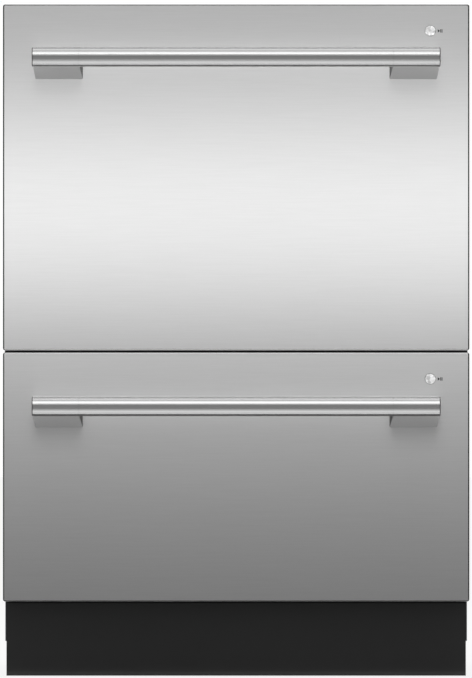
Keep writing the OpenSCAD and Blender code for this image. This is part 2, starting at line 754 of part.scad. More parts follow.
module wash_motor(d) color("dimgray") {
    hub_z = floor_z(d) + motor_hub_h;
    arm_z1 = hub_z + clear + arm_hub_h;
    rod_z(tub_z0(d) - motor_flange_t, tub_z0(d), 0, tub_yc, motor_flange_r);
    rod_z(tub_z0(d) - motor_h, tub_z0(d) - motor_flange_t + eps, 0, tub_yc, motor_d / 2);
    for (a = [0:30:330]) translate([0, tub_yc, tub_z0(d) - motor_h + 4]) rotate(a)
        translate([motor_d / 2 - 1, -1.5, 0]) cube([7, 3, motor_h - motor_flange_t - 8]);
    rod_z(tub_z0(d) - 1, hub_z, 0, tub_yc, motor_hub_r);
    rod_z(hub_z - 1, arm_z1 + clear + 1, 0, tub_yc, spindle_r - run);
    rod_z(arm_z1 + clear, arm_z1 + clear + 3, 0, tub_yc, spindle_r + 4);
}

// One swept blade, seen from above, along +X
module blade_outline() {
    sweep = 26;
    root = 22;
    tip = 13;
    steps = 8;
    lead = [for (i = [0:steps]) let (t = i / steps)
        [t * (arm_len - tip), root + (tip - root) * t - sweep * t * t]];
    trail = [for (i = [steps:-1:0]) let (t = i / steps)
        [t * (arm_len - tip), -root + (root - tip) * t - sweep * t * t]];
    polygon(concat(lead, trail));
    translate([arm_len - tip, -sweep]) circle(tip);
}

module spray_arm(d) color("silver") translate([0, tub_yc, floor_z(d)]) {
    hub_z = motor_hub_h + clear;
    difference() {
        union() {
            for (a = [0, 180]) rotate(a) {
                translate([0, 0, arm_rise]) linear_extrude(arm_t) blade_outline();
                for (i = [1:5]) let (t = i * 0.18)
                    translate([t * arm_len, -26 * t * t, arm_rise + arm_t - 1]) cylinder(3.5, 6, 6);
            }
            translate([0, 0, hub_z]) cylinder(arm_hub_h, arm_hub_r, arm_hub_r);
        }
        for (a = [0, 180], i = [1:5]) rotate(a) let (t = i * 0.18)
            translate([t * arm_len, -26 * t * t, arm_rise + arm_t - 2]) rotate(i * 25)
                translate([-4, -1, 0]) cube([8, 2, 6]);
        cylinder(100, spindle_r, spindle_r);
    }
}

module filter_plate(d) color("gray") translate([0, 0, floor_z(d)]) difference() {
    union() {
        translate([0, tub_yc, 0]) linear_extrude(plate_t)
            rounded(2 * (tub_in_x - plate_inset), tub_d - 2 * (tub_wall + plate_inset), tub_corner_r);
        rod_z(0, plate_t + 4, 0, tub_yc, plate_hole_r + 6);
    }
    rod_z(-1, 20, 0, tub_yc, plate_hole_r);
    rod_z(-1, 20, 0, filter_y, filter_d / 2 + 0.6);
    for (ring = [[60, 18], [85, 24]], i = [0:ring[1] - 1]) {
        a = i * 360 / ring[1];
        if (ring[0] < filter_offset - well_r - 4 || abs(a - 270) > 40)
            translate([0, tub_yc, -1]) rotate(a) translate([ring[0] - 8, -1.5, 0]) cube([16, 3, 10]);
    }
}

module drain_filter(d) color("dimgray") {
    z = floor_z(d) + plate_t + clear;
    r = filter_d / 2;
    translate([0, filter_y, 0]) {
        difference() {
            union() {
                rod_z(z, z + 3, 0, 0, r + 4);
                rod_z(tub_z0(d) - well_depth + tub_wall + 3, z + 1, 0, 0, r);
            }
            rod_z(tub_z0(d) - well_depth, z - 2, 0, 0, r - 2);
            for (a = [0:30:150], h = [0, 1])
                translate([0, 0, tub_z0(d) - well_depth + 10 + h * 12]) rotate(a)
                    translate([-r - 5, -2, 0]) cube([2 * r + 10, 4, 7]);
        }
        box([-r + 2, -3, z + 2], [r - 2, 3, z + 9]);
    }
}

// ---- Dish racks ----

// A wire bent to a U: along X at the bottom, then up both sides
module u_wire(half, height) {
    rod_x(-half + bend_r, half - bend_r, 0, 0, wire_r);
    both_sides() {
        rod_z(bend_r, height, half, 0, wire_r);
        translate([half - bend_r, 0, bend_r]) rotate([90, 0, 0]) rotate(-90)
            rotate_extrude(angle = 90) translate([bend_r, 0]) circle(wire_r);
    }
}

// A wire all the way round the rack's sides, at height z
module hoop(z, r) {
    half_y = (rack_y1 - rack_y0) / 2;
    for (y = [rack_y0, rack_y1]) rod_x(-rack_x + rim_bend_r, rack_x - rim_bend_r, y, z, r);
    for (x = [-rack_x, rack_x]) rod_y(rack_y0 + rim_bend_r, rack_y1 - rim_bend_r, x, z, r);
    for (a = [0:3]) {
        sx = a == 0 || a == 3 ? 1 : -1;
        sy = a < 2 ? 1 : -1;
        translate([sx * (rack_x - rim_bend_r), rack_yc + sy * (half_y - rim_bend_r), z]) rotate(a * 90)
            rotate_extrude(angle = 90) translate([rim_bend_r, 0]) circle(r);
    }
}

// A ring in which a hinged rod turns, carried by a block that reaches to (bx, bz)
module clip(x, y, z, bx, bz) difference() {
    union() {
        rod_y(y - clip_len / 2, y + clip_len / 2, x, z, clip_r);
        box([min(x, bx) - (bx == x ? 2.5 : 0), y - 2, min(z, bz) - (bz == z ? 2.5 : 0)],
            [max(x, bx) + (bx == x ? 2.5 : 0), y + 2, max(z, bz) + (bz == z ? 2.5 : 0)]);
    }
    rod_y(y - clip_len, y + clip_len, x, z, wire_r + run);
}

module rack(d) color("gray") translate([0, 0, rack_z(d)]) {
    h = rack_h(d);
    cross_z = wire_r;
    long_z = cross_z + wire_d - weld;
    half_y = (rack_y1 - rack_y0) / 2;
    for (i = [0:cross_n - 1]) translate([0, cross_y(i), cross_z]) u_wire(rack_x, h - cross_z);
    for (i = [0:long_n - 1]) translate([long_x(i), rack_yc, long_z]) rotate(90) u_wire(half_y, h - long_z);
    hoop(h, rim_wire_r);
    hoop(mid_wire_z, wire_r);
    for (i = fixed_tine_wires, j = [0:tine_n - 1])
        rod_z(long_z, long_z + tine_h, long_x(i), tine_y(j), tine_r);
    for (i = clip_wires) {
        clip(fold_x, cross_y(i), fold_rise, fold_x, cross_z);
        if (d == UPPER) clip(cup_hinge_x, cross_y(i), cup_shelf_z, -rack_x, cup_shelf_z);
    }
}

module folding_tines(d) color("gray") translate([fold_x, 0, rack_z(d) + fold_rise]) {
    rod_y(tine_y(0) - 8, tine_y(tine_n - 1) + 8, 0, 0, wire_r);
    for (j = [0:tine_n - 1]) rod_z(0, tine_h, 0, tine_y(j), tine_r);
}

module cup_shelf() color("gray") translate([cup_hinge_x, 0, rack_z(UPPER) + cup_shelf_z]) {
    rod_y(tine_y(0) - 8, tine_y(tine_n - 1) + 8, 0, 0, wire_r);
    rod_y(tine_y(0) - 8, tine_y(tine_n - 1) + 8, cup_shelf_w, 0, wire_r);
    for (j = [0:tine_n - 1]) rod_x(0, cup_shelf_w, tine_y(j), 0, tine_r);
}

module cutlery_basket(d) color("gray") translate([basket_x, rack_yc, rack_z(d) + rack_base_h + clear]) {
    cell = basket_len / 3;
    handle_h = 22;
    difference() {
        linear_extrude(basket_h) rounded(basket_w, basket_len, 8);
        for (i = [-1:1]) translate([0, i * cell, basket_wall]) linear_extrude(basket_h)
            rounded(basket_w - 2 * basket_wall, cell - 2 * basket_wall, 6);
        for (i = [-1:1], x = [-2:2])
            box([x * 11 - 2, i * cell - 28, -1], [x * 11 + 2, i * cell + 28, basket_wall + 1]);
    }
    for (s = [-1, 1]) box([-8, s * cell / 2 - 2, basket_h - 5], [8, s * cell / 2 + 2, basket_h + handle_h]);
    rod_y(-cell / 2 - 2, cell / 2 + 2, 0, basket_h + handle_h - 4, 5);
}

// ---- Dispenser ----

module dispenser(d) color("gainsboro") {
    zc = disp_zc(d);
    half = door_side / 2;
    x0 = door_x - half - 4;
    x1 = door_x + half + door_travel + 4;
    difference() {
        upright(disp_y0, disp_t) translate([0, zc]) rounded(disp_w, disp_h, 8);
        box([door_x - cup_side / 2, disp_y0 + 3, zc - cup_side / 2], [door_x + cup_side / 2, disp_face + 1, zc + cup_side / 2]);
        rod_y(disp_face - cap_stem_len - 1, disp_face + 1, cap_x, zc, cap_stem_r);
    }
    for (s = [-1, 1]) {
        z = [zc + s * (half + clear), zc + s * (half + clear + 3)];
        box([x0, disp_face - eps, min(z)], [x1, disp_face + track_t, max(z)]);
        lip = [zc + s * (half - track_lip), zc + s * (half + clear + 1)];
        box([x0, disp_face + clear + door_t + clear, min(lip)], [x1, disp_face + track_t, max(lip)]);
    }
}

module dispenser_door(d) color("whitesmoke") {
    half = door_side / 2;
    y0 = disp_face + clear;
    box([door_x - half, y0, disp_zc(d) - half], [door_x + half, y0 + door_t, disp_zc(d) + half]);
    box([door_x + half - 10, y0 + door_t - eps, disp_zc(d) - 12], [door_x + half - 6, y0 + door_t + 4, disp_zc(d) + 12]);
}

module rinse_aid_cap(d) color("steelblue") {
    y0 = disp_face + clear;
    rod_y(disp_face - cap_stem_len, y0 + 1, cap_x, disp_zc(d), cap_stem_r - run);
    rod_y(y0, y0 + 4, cap_x, disp_zc(d), cap_d / 2);
    box([cap_x - cap_d / 2 + 4, y0 + 3, disp_zc(d) - 2], [cap_x + cap_d / 2 - 4, y0 + 8, disp_zc(d) + 2]);
}

// ---- Nodes ----

mirror([1, 0, 0]) side_panel();  // side_panel_left
side_panel();  // side_panel_right
top_panel();
back_panel();
base_pan();
middle_shelf();
front_trim();
toe_kick();
fixed_rails();
lid_actuators();
inlet_valve();  // water_inlet_valve
drain_connector();
power_inlet();
foot(-1, foot_front_y);  // foot_front_left
foot(1, foot_front_y);  // foot_front_right
foot(-1, foot_back_y);  // foot_back_left
foot(1, foot_back_y);  // foot_back_right
lid(UPPER);  // upper_lid
lid_seal(UPPER);  // upper_lid_seal
lid(LOWER);  // lower_lid
lid_seal(LOWER);  // lower_lid_seal
tub(UPPER);  // upper_tub
inner_front(UPPER);  // upper_inner_front
front_panel(UPPER);  // upper_front_panel
handle_bar(UPPER);  // upper_handle_bar
handle_posts(UPPER);  // upper_handle_posts
start_button(UPPER);  // upper_start_button
control_strip(UPPER);  // upper_control_strip
dispenser(UPPER);  // upper_dispenser
dispenser_door(UPPER);  // upper_dispenser_door
rinse_aid_cap(UPPER);  // upper_rinse_aid_cap
spray_arm(UPPER);  // upper_spray_arm
filter_plate(UPPER);  // upper_filter_plate
drain_filter(UPPER);  // upper_drain_filter
rack(UPPER);  // upper_rack
folding_tines(UPPER);  // upper_folding_tines
cup_shelf();  // upper_cup_shelf
cutlery_basket(UPPER);  // upper_cutlery_basket
tub_rails(UPPER);  // upper_tub_rails
mid_rails(UPPER);  // upper_mid_rails
wash_motor(UPPER);  // upper_wash_motor
tub(LOWER);  // lower_tub
inner_front(LOWER);  // lower_inner_front
front_panel(LOWER);  // lower_front_panel
handle_bar(LOWER);  // lower_handle_bar
handle_posts(LOWER);  // lower_handle_posts
start_button(LOWER);  // lower_start_button
control_strip(LOWER);  // lower_control_strip
dispenser(LOWER);  // lower_dispenser
dispenser_door(LOWER);  // lower_dispenser_door
rinse_aid_cap(LOWER);  // lower_rinse_aid_cap
spray_arm(LOWER);  // lower_spray_arm
filter_plate(LOWER);  // lower_filter_plate
drain_filter(LOWER);  // lower_drain_filter
rack(LOWER);  // lower_rack
folding_tines(LOWER);  // lower_folding_tines
cutlery_basket(LOWER);  // lower_cutlery_basket
tub_rails(LOWER);  // lower_tub_rails
mid_rails(LOWER);  // lower_mid_rails
wash_motor(LOWER);  // lower_wash_motor
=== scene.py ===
# %% [markdown]
# # A dishwasher with two drawers
# The machine is built in below a worktop: two brushed steel fronts, one above the other, each
# with a round bar handle, and a black kick plate near the floor. Its measured solids come in
# first, at their real size in metres. The fronts face -Y, +Z is up, and the floor is at z = 0.
# What shows most is then modelled again with finer meshes, and every surface gets the finish
# that the real one has.

# %% Load the measured solids
import math

import bmesh
import bpy
from mathutils import Matrix, Vector


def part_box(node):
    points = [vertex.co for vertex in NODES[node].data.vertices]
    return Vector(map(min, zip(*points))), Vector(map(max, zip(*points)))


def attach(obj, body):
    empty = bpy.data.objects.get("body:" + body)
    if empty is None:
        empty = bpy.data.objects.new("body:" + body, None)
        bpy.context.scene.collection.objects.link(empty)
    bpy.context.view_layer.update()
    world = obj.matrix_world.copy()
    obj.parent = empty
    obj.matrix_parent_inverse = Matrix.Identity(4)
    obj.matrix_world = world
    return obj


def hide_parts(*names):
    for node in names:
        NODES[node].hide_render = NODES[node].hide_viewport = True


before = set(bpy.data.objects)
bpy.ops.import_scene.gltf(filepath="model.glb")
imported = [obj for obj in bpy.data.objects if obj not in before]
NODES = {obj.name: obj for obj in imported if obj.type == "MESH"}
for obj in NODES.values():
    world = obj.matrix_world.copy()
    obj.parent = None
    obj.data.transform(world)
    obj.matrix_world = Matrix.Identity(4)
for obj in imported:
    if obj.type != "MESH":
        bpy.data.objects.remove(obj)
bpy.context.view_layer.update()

SIDES = ("upper", "lower")

# %% [markdown]
# ## Sizes
# A few sizes are read from the solids, so that the finer pieces land on them: a box gives the
# lowest and highest corner of a solid. The rest are real sizes in millimetres, such as how
# tightly steel sheet can be folded, and each is named where it is first needed.

# %% Sizes that the pieces share
MM = 0.001
FRONT_BOX = {side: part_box(side + "_front_panel") for side in SIDES}
POST_BOX = {side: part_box(side + "_handle_posts") for side in SIDES}
BAR_BOX = {side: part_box(side + "_handle_bar") for side in SIDES}
BUTTON_BOX = {side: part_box(side + "_start_button") for side in SIDES}
FACE_Y = FRONT_BOX["upper"][0].y
BAR_R = (BAR_BOX["upper"][1].z - BAR_BOX["upper"][0].z) / 2
BAR_Y = BAR_BOX["upper"][0].y + BAR_R
BAR_Z = {side: (BAR_BOX[side][0].z + BAR_BOX[side][1].z) / 2 for side in SIDES}
print("steel face at y =", round(FACE_Y, 4), "bar radius", round(BAR_R, 4))

# %% [markdown]
# ## Colours and shader nodes
# Colours are written as sRGB hex values, the way a paint chart gives them, but shaders work
# with linear light, so one function converts them. Materials are networks of nodes. One helper
# adds a node, sets its properties and fills its sockets: a plain value is set, and an output
# socket of another node is linked.

# %% Helpers for colours and nodes
def srgb(code):
    """A colour such as '#c8c9cb', as linear red, green, blue and alpha."""
    parts = [int(code[i:i + 2], 16) / 255 for i in (1, 3, 5)]
    return tuple(p / 12.92 if p <= 0.04045 else ((p + 0.055) / 1.055) ** 2.4 for p in parts) + (1.0,)


def add(tree, kind, sockets=None, **settings):
    """Adds a node of that kind; sockets maps input names or numbers to values or output sockets."""
    made = tree.nodes.new("ShaderNode" + kind)
    for name, value in settings.items():
        setattr(made, name, value)
    for name, value in (sockets or {}).items():
        if isinstance(value, bpy.types.NodeSocket):
            tree.links.new(value, made.inputs[name])
        else:
            made.inputs[name].default_value = value
    return made


def finish_named(name):
    """A new material with an empty node tree, and that tree."""
    material = bpy.data.materials.new(name)
    material.use_nodes = True
    material.node_tree.nodes.clear()
    return material, material.node_tree


WHITE = srgb("#ffffff")
NOISE_SPAN = {"From Min": 0.3, "From Max": 0.7}      # a noise stays between these nearly everywhere
print("mid grey #808080 is", round(srgb("#808080")[0], 3), "in linear light")

# %% [markdown]
# ## Brushed stainless steel
# The fronts are 304 stainless sheet with a number 4 finish: a belt has drawn fine parallel
# lines across them. Along the lines the surface stays smooth, across them it is rough, so a
# reflection is smeared upright, at right angles to the lines. That is anisotropy. It could be
# modelled as real scratches, but they are 0.1 mm wide, finer than a pixel, so the shader's
# anisotropy does the smearing and a faint streak pattern gives the lines that can be seen.
# The lobe is stretched along the tangent. A tangent that runs round the X axis is upright on
# every face that looks forwards.

# %% A function for ground steel
SCRATCH_DEPTH = 0.02 * MM


def stainless(name, hex_colour, roughness, anisotropic, streak, relief, line, length):
    """Ground stainless steel whose grinding lines run along X; line and length are in metres."""
    material, tree = finish_named(name)
    place = add(tree, "TexCoord").outputs["Object"]
    stretched = add(tree, "Mapping", {"Vector": place, "Scale": (1 / length, 1 / line, 1 / line)})
    lines = add(tree, "TexNoise", {"Vector": stretched.outputs["Vector"], "Scale": 1.0,
                                   "Detail": 3.0, "Roughness": 0.6})
    shade = add(tree, "MapRange", {"Value": lines.outputs[0], **NOISE_SPAN,
                                   "To Min": 1 - streak, "To Max": 1 + streak})
    colour = add(tree, "VectorMath", {0: srgb(hex_colour)[:3], "Scale": shade.outputs["Result"]},
                 operation="SCALE")
    bump = add(tree, "Bump", {"Height": lines.outputs[0], "Strength": relief,
                              "Distance": SCRATCH_DEPTH})
    tangent = add(tree, "Tangent", direction_type="RADIAL", axis="X")
    shader = add(tree, "BsdfPrincipled", {
        "Base Color": colour.outputs["Vector"], "Metallic": 1.0, "Roughness": roughness,
        "Anisotropic": anisotropic, "Tangent": tangent.outputs["Tangent"],
        "Normal": bump.outputs["Normal"]})
    add(tree, "OutputMaterial", {"Surface": shader.outputs[0]})
    return material


print("scratches are", round(SCRATCH_DEPTH / MM, 3), "mm deep at most")

# %% [markdown]
# ## Five surfaces of one steel
# All the bare steel is the same alloy, and only the last tool that touched it differs. A belt and a lathe
# leave different lines, so each surface mirrors the room in its own way, and one dark steel paints shade
# where edges should look dark.
# One material with a mask could hold them all, but separate ones are easier to read.

# %% The steel finishes
BRUSH_LINE = 1.4 * MM      # spacing of the belt's lines, drawn ten times the real one so that they show
BRUSH_LENGTH = 60 * MM     # how far a streak runs before it fades
TURN_LINE = 0.7 * MM       # the same for lathed and finely ground pieces, also drawn coarser
TURN_LENGTH = 25 * MM
BLOTCH = 2.0 * MM          # the dark steel that paints shade has no lines, only blotches

# Belt-ground: the room turns into soft gradients, smeared upright.
brushed_steel = stainless("brushed_304_front", "#cfcfcf", roughness=0.30, anisotropic=0.8,
                          streak=0.02, relief=0.03, line=BRUSH_LINE, length=BRUSH_LENGTH)
# Satin-ground castings: an even grey without clear reflections.
satin_steel = stainless("satin_304_post", "#c6c6c6", roughness=0.55, anisotropic=0.3,
                        streak=0.015, relief=0.01, line=TURN_LINE, length=TURN_LENGTH)
# Dark steel, painted shade: dark and dull, so that edges, flanks and the button's collar draw a thin dark
# line.
painted_shade_steel = stainless("unpolished_304_flank", "#3c3c3c", roughness=0.45, anisotropic=0.0,
                       streak=0.05, relief=0.02, line=BLOTCH, length=BLOTCH)
# Brushed, then pressed smooth by the folding tool: clearer reflections, a thin light line.
folded_steel = stainless("folded_304_edge", "#b4b4b4", roughness=0.16, anisotropic=0.3,
                         streak=0.02, relief=0.01, line=BRUSH_LINE, length=BRUSH_LENGTH)
# Lathed and finely ground: crisp bright and dark lines along the tube.
turned_steel = stainless("turned_304_handle", "#c6c6c6", roughness=0.20, anisotropic=0.3,
                         streak=0.015, relief=0.004, line=TURN_LINE, length=TURN_LENGTH)
print("steel finishes:", [m.name for m in (brushed_steel, satin_steel, painted_shade_steel, folded_steel,
                                           turned_steel)])

# %% [markdown]
# ## Moulded plastics and paint
# Most other parts are moulded plastic. The mould's spark-eroded texture is a fine grain, which
# breaks a highlight up a little: a small noise drives the bump and shifts the roughness, and a
# broad one keeps large faces from looking dead. The real grain is about 0.1 mm, too fine to
# show, so it is drawn 0.4 to 2 mm wide.

# %% A function for moulded or painted surfaces
BROAD_SCALE = 12.0         # clouds of about 80 mm


def coated(name, hex_colour, roughness, grain, depth, tint=0.04, ior=1.5):
    """A moulded or painted surface with a fine grain; its width and depth are in metres."""
    material, tree = finish_named(name)
    place = add(tree, "TexCoord").outputs["Object"]
    fine = add(tree, "TexNoise", {"Vector": place, "Scale": 1 / grain, "Detail": 2.0})
    broad = add(tree, "TexNoise", {"Vector": place, "Scale": BROAD_SCALE, "Detail": 3.0})
    shade = add(tree, "MapRange", {"Value": broad.outputs[0], **NOISE_SPAN,
                                   "To Min": 1 - tint, "To Max": 1 + tint})
    colour = add(tree, "VectorMath", {0: srgb(hex_colour)[:3], "Scale": shade.outputs["Result"]},
                 operation="SCALE")
    gloss = add(tree, "MapRange", {"Value": fine.outputs[0], **NOISE_SPAN,
                                   "To Min": roughness * 0.85, "To Max": min(1.0, roughness * 1.15)})
    bump = add(tree, "Bump", {"Height": fine.outputs[0], "Strength": 0.25, "Distance": depth})
    shader = add(tree, "BsdfPrincipled", {
        "Base Color": colour.outputs["Vector"], "Roughness": gloss.outputs["Result"], "IOR": ior,
        "Normal": bump.outputs["Normal"]})
    add(tree, "OutputMaterial", {"Surface": shader.outputs[0]})
    return material


print("the broad clouds are about", round(1 / BROAD_SCALE / MM), "mm wide")

# %% [markdown]
# ## Black parts
# The kick plate is powder coated steel, the trim is grained ABS, the control strip in each
# drawer's top edge is acrylic from a polished mould, the lids' seals are rubber, and the motor
# housings are PBT. All are black, and only gloss and grain tell them apart, so one function
# with other numbers makes each of them.

# %% Black finishes
# Powder paint, baked on: a soft, slightly rippled sheen.
kick_paint = coated("powder_coated_black", "#282828", 0.45, 0.8 * MM, 0.02 * MM)
# Grained ABS: the highlight breaks up and goes dull.
trim_abs = coated("black_abs_trim", "#161617", 0.5, 0.6 * MM, 0.03 * MM)
# Polished acrylic: mirrors as clearly as glass.
strip_gloss = coated("black_gloss_acrylic", "#08080a", 0.08, 2 * MM, 0.005 * MM, ior=1.49)
# Vulcanised rubber: soft and nearly without a highlight.
seal_rubber = coated("epdm_seal", "#2b2c2e", 0.75, 0.5 * MM, 0.05 * MM)
# PBT with glass fibres near the surface: dull and dry.
motor_pbt = coated("motor_pbt", "#232325", 0.55, 0.7 * MM, 0.04 * MM)
print("black finishes:", [m.name for m in (kick_paint, trim_abs, strip_gloss, seal_rubber, motor_pbt)])

# %% [markdown]
# ## Grey parts inside the drawers
# What touches water and food is mostly polypropylene, which resists both. It looks a little
# waxy, because light goes into it slightly before it comes back. At this size a plain surface
# of middling gloss shows the same, so no light is scattered inside it. The dispensers are
# ABS, which polishes better. The lid actuators and the inlet valve are polyamide, which is
# tougher.

# %% Grey and white finishes
# Polypropylene from a smooth mould: pale, with soft highlights.
tub_pp = coated("tub_polypropylene", "#cdd1d4", 0.32, 0.9 * MM, 0.02 * MM, 0.015)
# Lightly grained ABS: mid grey and even.
inner_abs = coated("grey_abs_inner", "#74797d", 0.45, 0.7 * MM, 0.03 * MM)
# Grained polypropylene: pale, and duller than the tub.
lid_pp = coated("lid_polypropylene", "#b0b4b7", 0.4, 0.8 * MM, 0.02 * MM)
# Steel wire dipped in nylon powder and melted: smooth, with slow ripples.
rack_nylon = coated("nylon_coated_wire", "#6f767c", 0.3, 1.2 * MM, 0.03 * MM)
# Moulded polypropylene, darker: a soft sheen on its many edges.
basket_pp = coated("basket_polypropylene", "#5c6268", 0.38, 0.7 * MM, 0.03 * MM)
filter_pp = coated("filter_polypropylene", "#4d5156", 0.4, 0.6 * MM, 0.03 * MM)
# ABS from a polished mould: crisp highlights, crispest on the door.
dispenser_abs = coated("dispenser_abs", "#b9bdc1", 0.18, 1.5 * MM, 0.005 * MM)
door_abs = coated("dispenser_door_abs", "#8d9398", 0.12, 1.5 * MM, 0.005 * MM)
# Dyed polypropylene: a blue that is found at once when rinse aid runs out.
cap_pp = coated("rinse_cap_polypropylene", "#38608c", 0.2, 1.0 * MM, 0.01 * MM)
# Two moulded shells welded together: light grey and softly shining.
arm_pp = coated("spray_arm_polypropylene", "#9fa4a8", 0.3, 0.9 * MM, 0.02 * MM)
# Natural polyamide, moulded rough: off-white and dull.
valve_pa = coated("valve_polyamide", "#d4d4d0", 0.5, 0.8 * MM, 0.03 * MM)
print("inside finishes:", [m.name for m in (tub_pp, inner_abs, lid_pp, rack_nylon, basket_pp, filter_pp,
                                            dispenser_abs, door_abs, cap_pp, arm_pp, valve_pa)])

# %% [markdown]
# ## Zinc on steel
# The cabinet is hot-dip galvanised sheet. Zinc freezes in flat crystals 8 to 15 mm across, each
# tilted its own way, so neighbours differ a little in tone and gloss: that is the spangle. A
# cell pattern gives each crystal one value, and a noise makes the borders wander. The runners
# and feet are electroplated instead, which leaves no spangle, only an even bright skin with a
# bluish cast.

# %% Galvanised sheet and bright zinc
def zinc(name, hex_colour, roughness, crystal, tone, spread):
    """Zinc coating; each crystal, sized in metres, shifts tone and roughness by up to these shares."""
    material, tree = finish_named(name)
    place = add(tree, "TexCoord").outputs["Object"]
    wander = add(tree, "TexNoise", {"Vector": place, "Scale": 0.6 / crystal, "Detail": 2.0})
    edge = add(tree, "VectorMath", {0: wander.outputs["Color"], "Scale": crystal * 0.5},
               operation="SCALE")
    torn = add(tree, "VectorMath", {0: place, 1: edge.outputs["Vector"]}, operation="ADD")
    crystals = add(tree, "TexVoronoi", {"Vector": torn.outputs["Vector"], "Scale": 1 / crystal})
    value = add(tree, "SeparateColor", {"Color": crystals.outputs["Color"]})
    shade = add(tree, "MapRange", {"Value": value.outputs[0], "To Min": 1 - tone, "To Max": 1 + tone})
    colour = add(tree, "VectorMath", {0: srgb(hex_colour)[:3], "Scale": shade.outputs["Result"]},
                 operation="SCALE")
    gloss = add(tree, "MapRange", {"Value": value.outputs[1], "To Min": roughness * (1 - spread),
                                   "To Max": roughness * (1 + spread)})
    shader = add(tree, "BsdfPrincipled", {
        "Base Color": colour.outputs["Vector"], "Metallic": 1.0, "Roughness": gloss.outputs["Result"]})
    add(tree, "OutputMaterial", {"Surface": shader.outputs[0]})
    return material


# Dipped in molten zinc: pale grey, mottled crystal by crystal.
galvanised = zinc("galvanised_sheet", "#b3b7ba", 0.45, 11 * MM, 0.07, 0.15)
# Plated in a bath: bright and even; 3 mm patches keep it from looking like a flat colour.
zinc_plate = zinc("bright_zinc_plate", "#c6cace", 0.27, 3 * MM, 0.02, 0.1)
print("zinc finishes:", galvanised.name, zinc_plate.name)

# %% [markdown]
# ## The start button's metal
# A turned metal disc, satin and nearly white, with a mottled face inside a polished rim: it was
# blasted before it was chromed. The mottling comes from small facets, and a cell pattern with
# softened borders drives both their tone and the bump. Beside the button a small mark is printed
# on the steel with dark ink.

# %% Button metal and mark ink
FACET = 3.0 * MM           # twice the real size, so that the facets show


def button_metal():
    """Pearl chrome: half metal, half white, with a mottled face."""
    material, tree = finish_named("pearl_chrome_button")
    place = add(tree, "TexCoord").outputs["Object"]
    facets = add(tree, "TexVoronoi", {"Vector": place, "Scale": 1 / FACET, "Smoothness": 0.4},
                 feature="SMOOTH_F1")
    shade = add(tree, "MapRange", {"Value": facets.outputs["Color"], "From Min": 0.25,
                                   "From Max": 0.75, "To Min": 0.62, "To Max": 1.08})
    colour = add(tree, "VectorMath", {0: srgb("#f4f4f4")[:3], "Scale": shade.outputs["Result"]},
                 operation="SCALE")
    bump = add(tree, "Bump", {"Height": facets.outputs["Distance"], "Strength": 0.3,
                              "Distance": 0.05 * MM})
    shader = add(tree, "BsdfPrincipled", {
        "Base Color": colour.outputs["Vector"], "Metallic": 0.55, "Roughness": 0.3,
        "Normal": bump.outputs["Normal"]})
    add(tree, "OutputMaterial", {"Surface": shader.outputs[0]})
    return material


pearl_chrome = button_metal()
# Printed and cured ink: flat and even, with no grain to speak of.
mark_ink = coated("dark_grey_ink", "#161617", 0.5, 0.4 * MM, 0.002 * MM)
print("button and mark:", pearl_chrome.name, mark_ink.name)

# %% [markdown]
# ## From a mesh to an object
# A piece is built as a bmesh, Blender's mesh for editing. One helper makes an object of it, with smooth
# shading that stays crisp at sharp edges, and says which body of the machine it moves with and which solids
# it stands for. Another paints shade on chosen faces by giving them dark steel.

# %% Objects and faces with painted shade
def to_object(name, bm, material, body, *replaced, sharp=35):
    """Makes an object of a bmesh; it rides on a body and may stand for measured solids."""
    bmesh.ops.recalc_face_normals(bm, faces=bm.faces)
    mesh = bpy.data.meshes.new(name)
    bm.to_mesh(mesh)
    bm.free()
    mesh.shade_smooth()
    mesh.set_sharp_from_angle(angle=math.radians(sharp))
    made = bpy.data.objects.new(name, mesh)
    bpy.context.scene.collection.objects.link(made)
    mesh.materials.append(material)
    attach(made, body)
    if replaced:
        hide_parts(*replaced)
    return made


def paint_shade_on_faces(made, chosen):
    """Paints shade on the faces for which chosen(face) is true, by giving them dark steel."""
    made.data.materials.append(painted_shade_steel)
    for face in made.data.polygons:
        if chosen(face):
            face.material_index = 1


print("dull faces get", painted_shade_steel.name)

# %% [markdown]
# ## Rings and skins
# A turned or pressed piece is a row of rings: closed loops of points, each joined to the next
# by a band of faces. One helper builds such a skin and caps its ends. For a lathed piece the
# rings are circles. Blender's Screw modifier could turn a profile too, but rings in code can
# also follow a sheet's outline.

# %% Skins and lathed shapes
def skin(bm, rings, caps=(True, True)):
    """Adds a closed band of faces between each ring and the next."""
    loops = [[bm.verts.new(p) for p in ring] for ring in rings]
    for one, two in zip(loops, loops[1:]):
        for i in range(len(one)):
            j = (i + 1) % len(one)
            bm.faces.new((one[i], one[j], two[j], two[i]))
    if caps[0]:
        bm.faces.new(loops[0])
    if caps[1]:
        bm.faces.new(loops[-1])
    return loops


def turned(bm, profile, centre, axis, steps=96, caps=(True, True)):
    """A turned shape: profile is (distance along the axis, radius) pairs, axis is X, Y or Z."""
    spots = []
    for along, radius in profile:
        ring = []
        for i in range(steps):
            a = 2 * math.pi * i / steps
            flat = [radius * math.cos(a), radius * math.sin(a)]
            flat.insert("XYZ".index(axis), along)
            ring.append(Vector(flat) + Vector(centre))
        spots.append(ring)
    skin(bm, spots, caps)


trial = bmesh.new()
turned(trial, [(0, 1), (2, 1)], (0, 0, 0), "Z")
print("a trial cylinder has", len(trial.faces), "faces")
trial.free()

# %% [markdown]
# ## Cutting
# A hole is cut with a boolean: a second object, the cutter, takes its volume away from the
# first. Blender keeps that as a modifier. Here the result is written into the mesh at once, and
# the cutter goes.

# %% Cutters and cuts
def cutter_of(bm):
    """A cutter: an object that takes part in one cut and isn't kept."""
    bmesh.ops.recalc_face_normals(bm, faces=bm.faces)
    mesh = bpy.data.meshes.new("cutter")
    bm.to_mesh(mesh)
    bm.free()
    made = bpy.data.objects.new("cutter", mesh)
    bpy.context.scene.collection.objects.link(made)
    return made


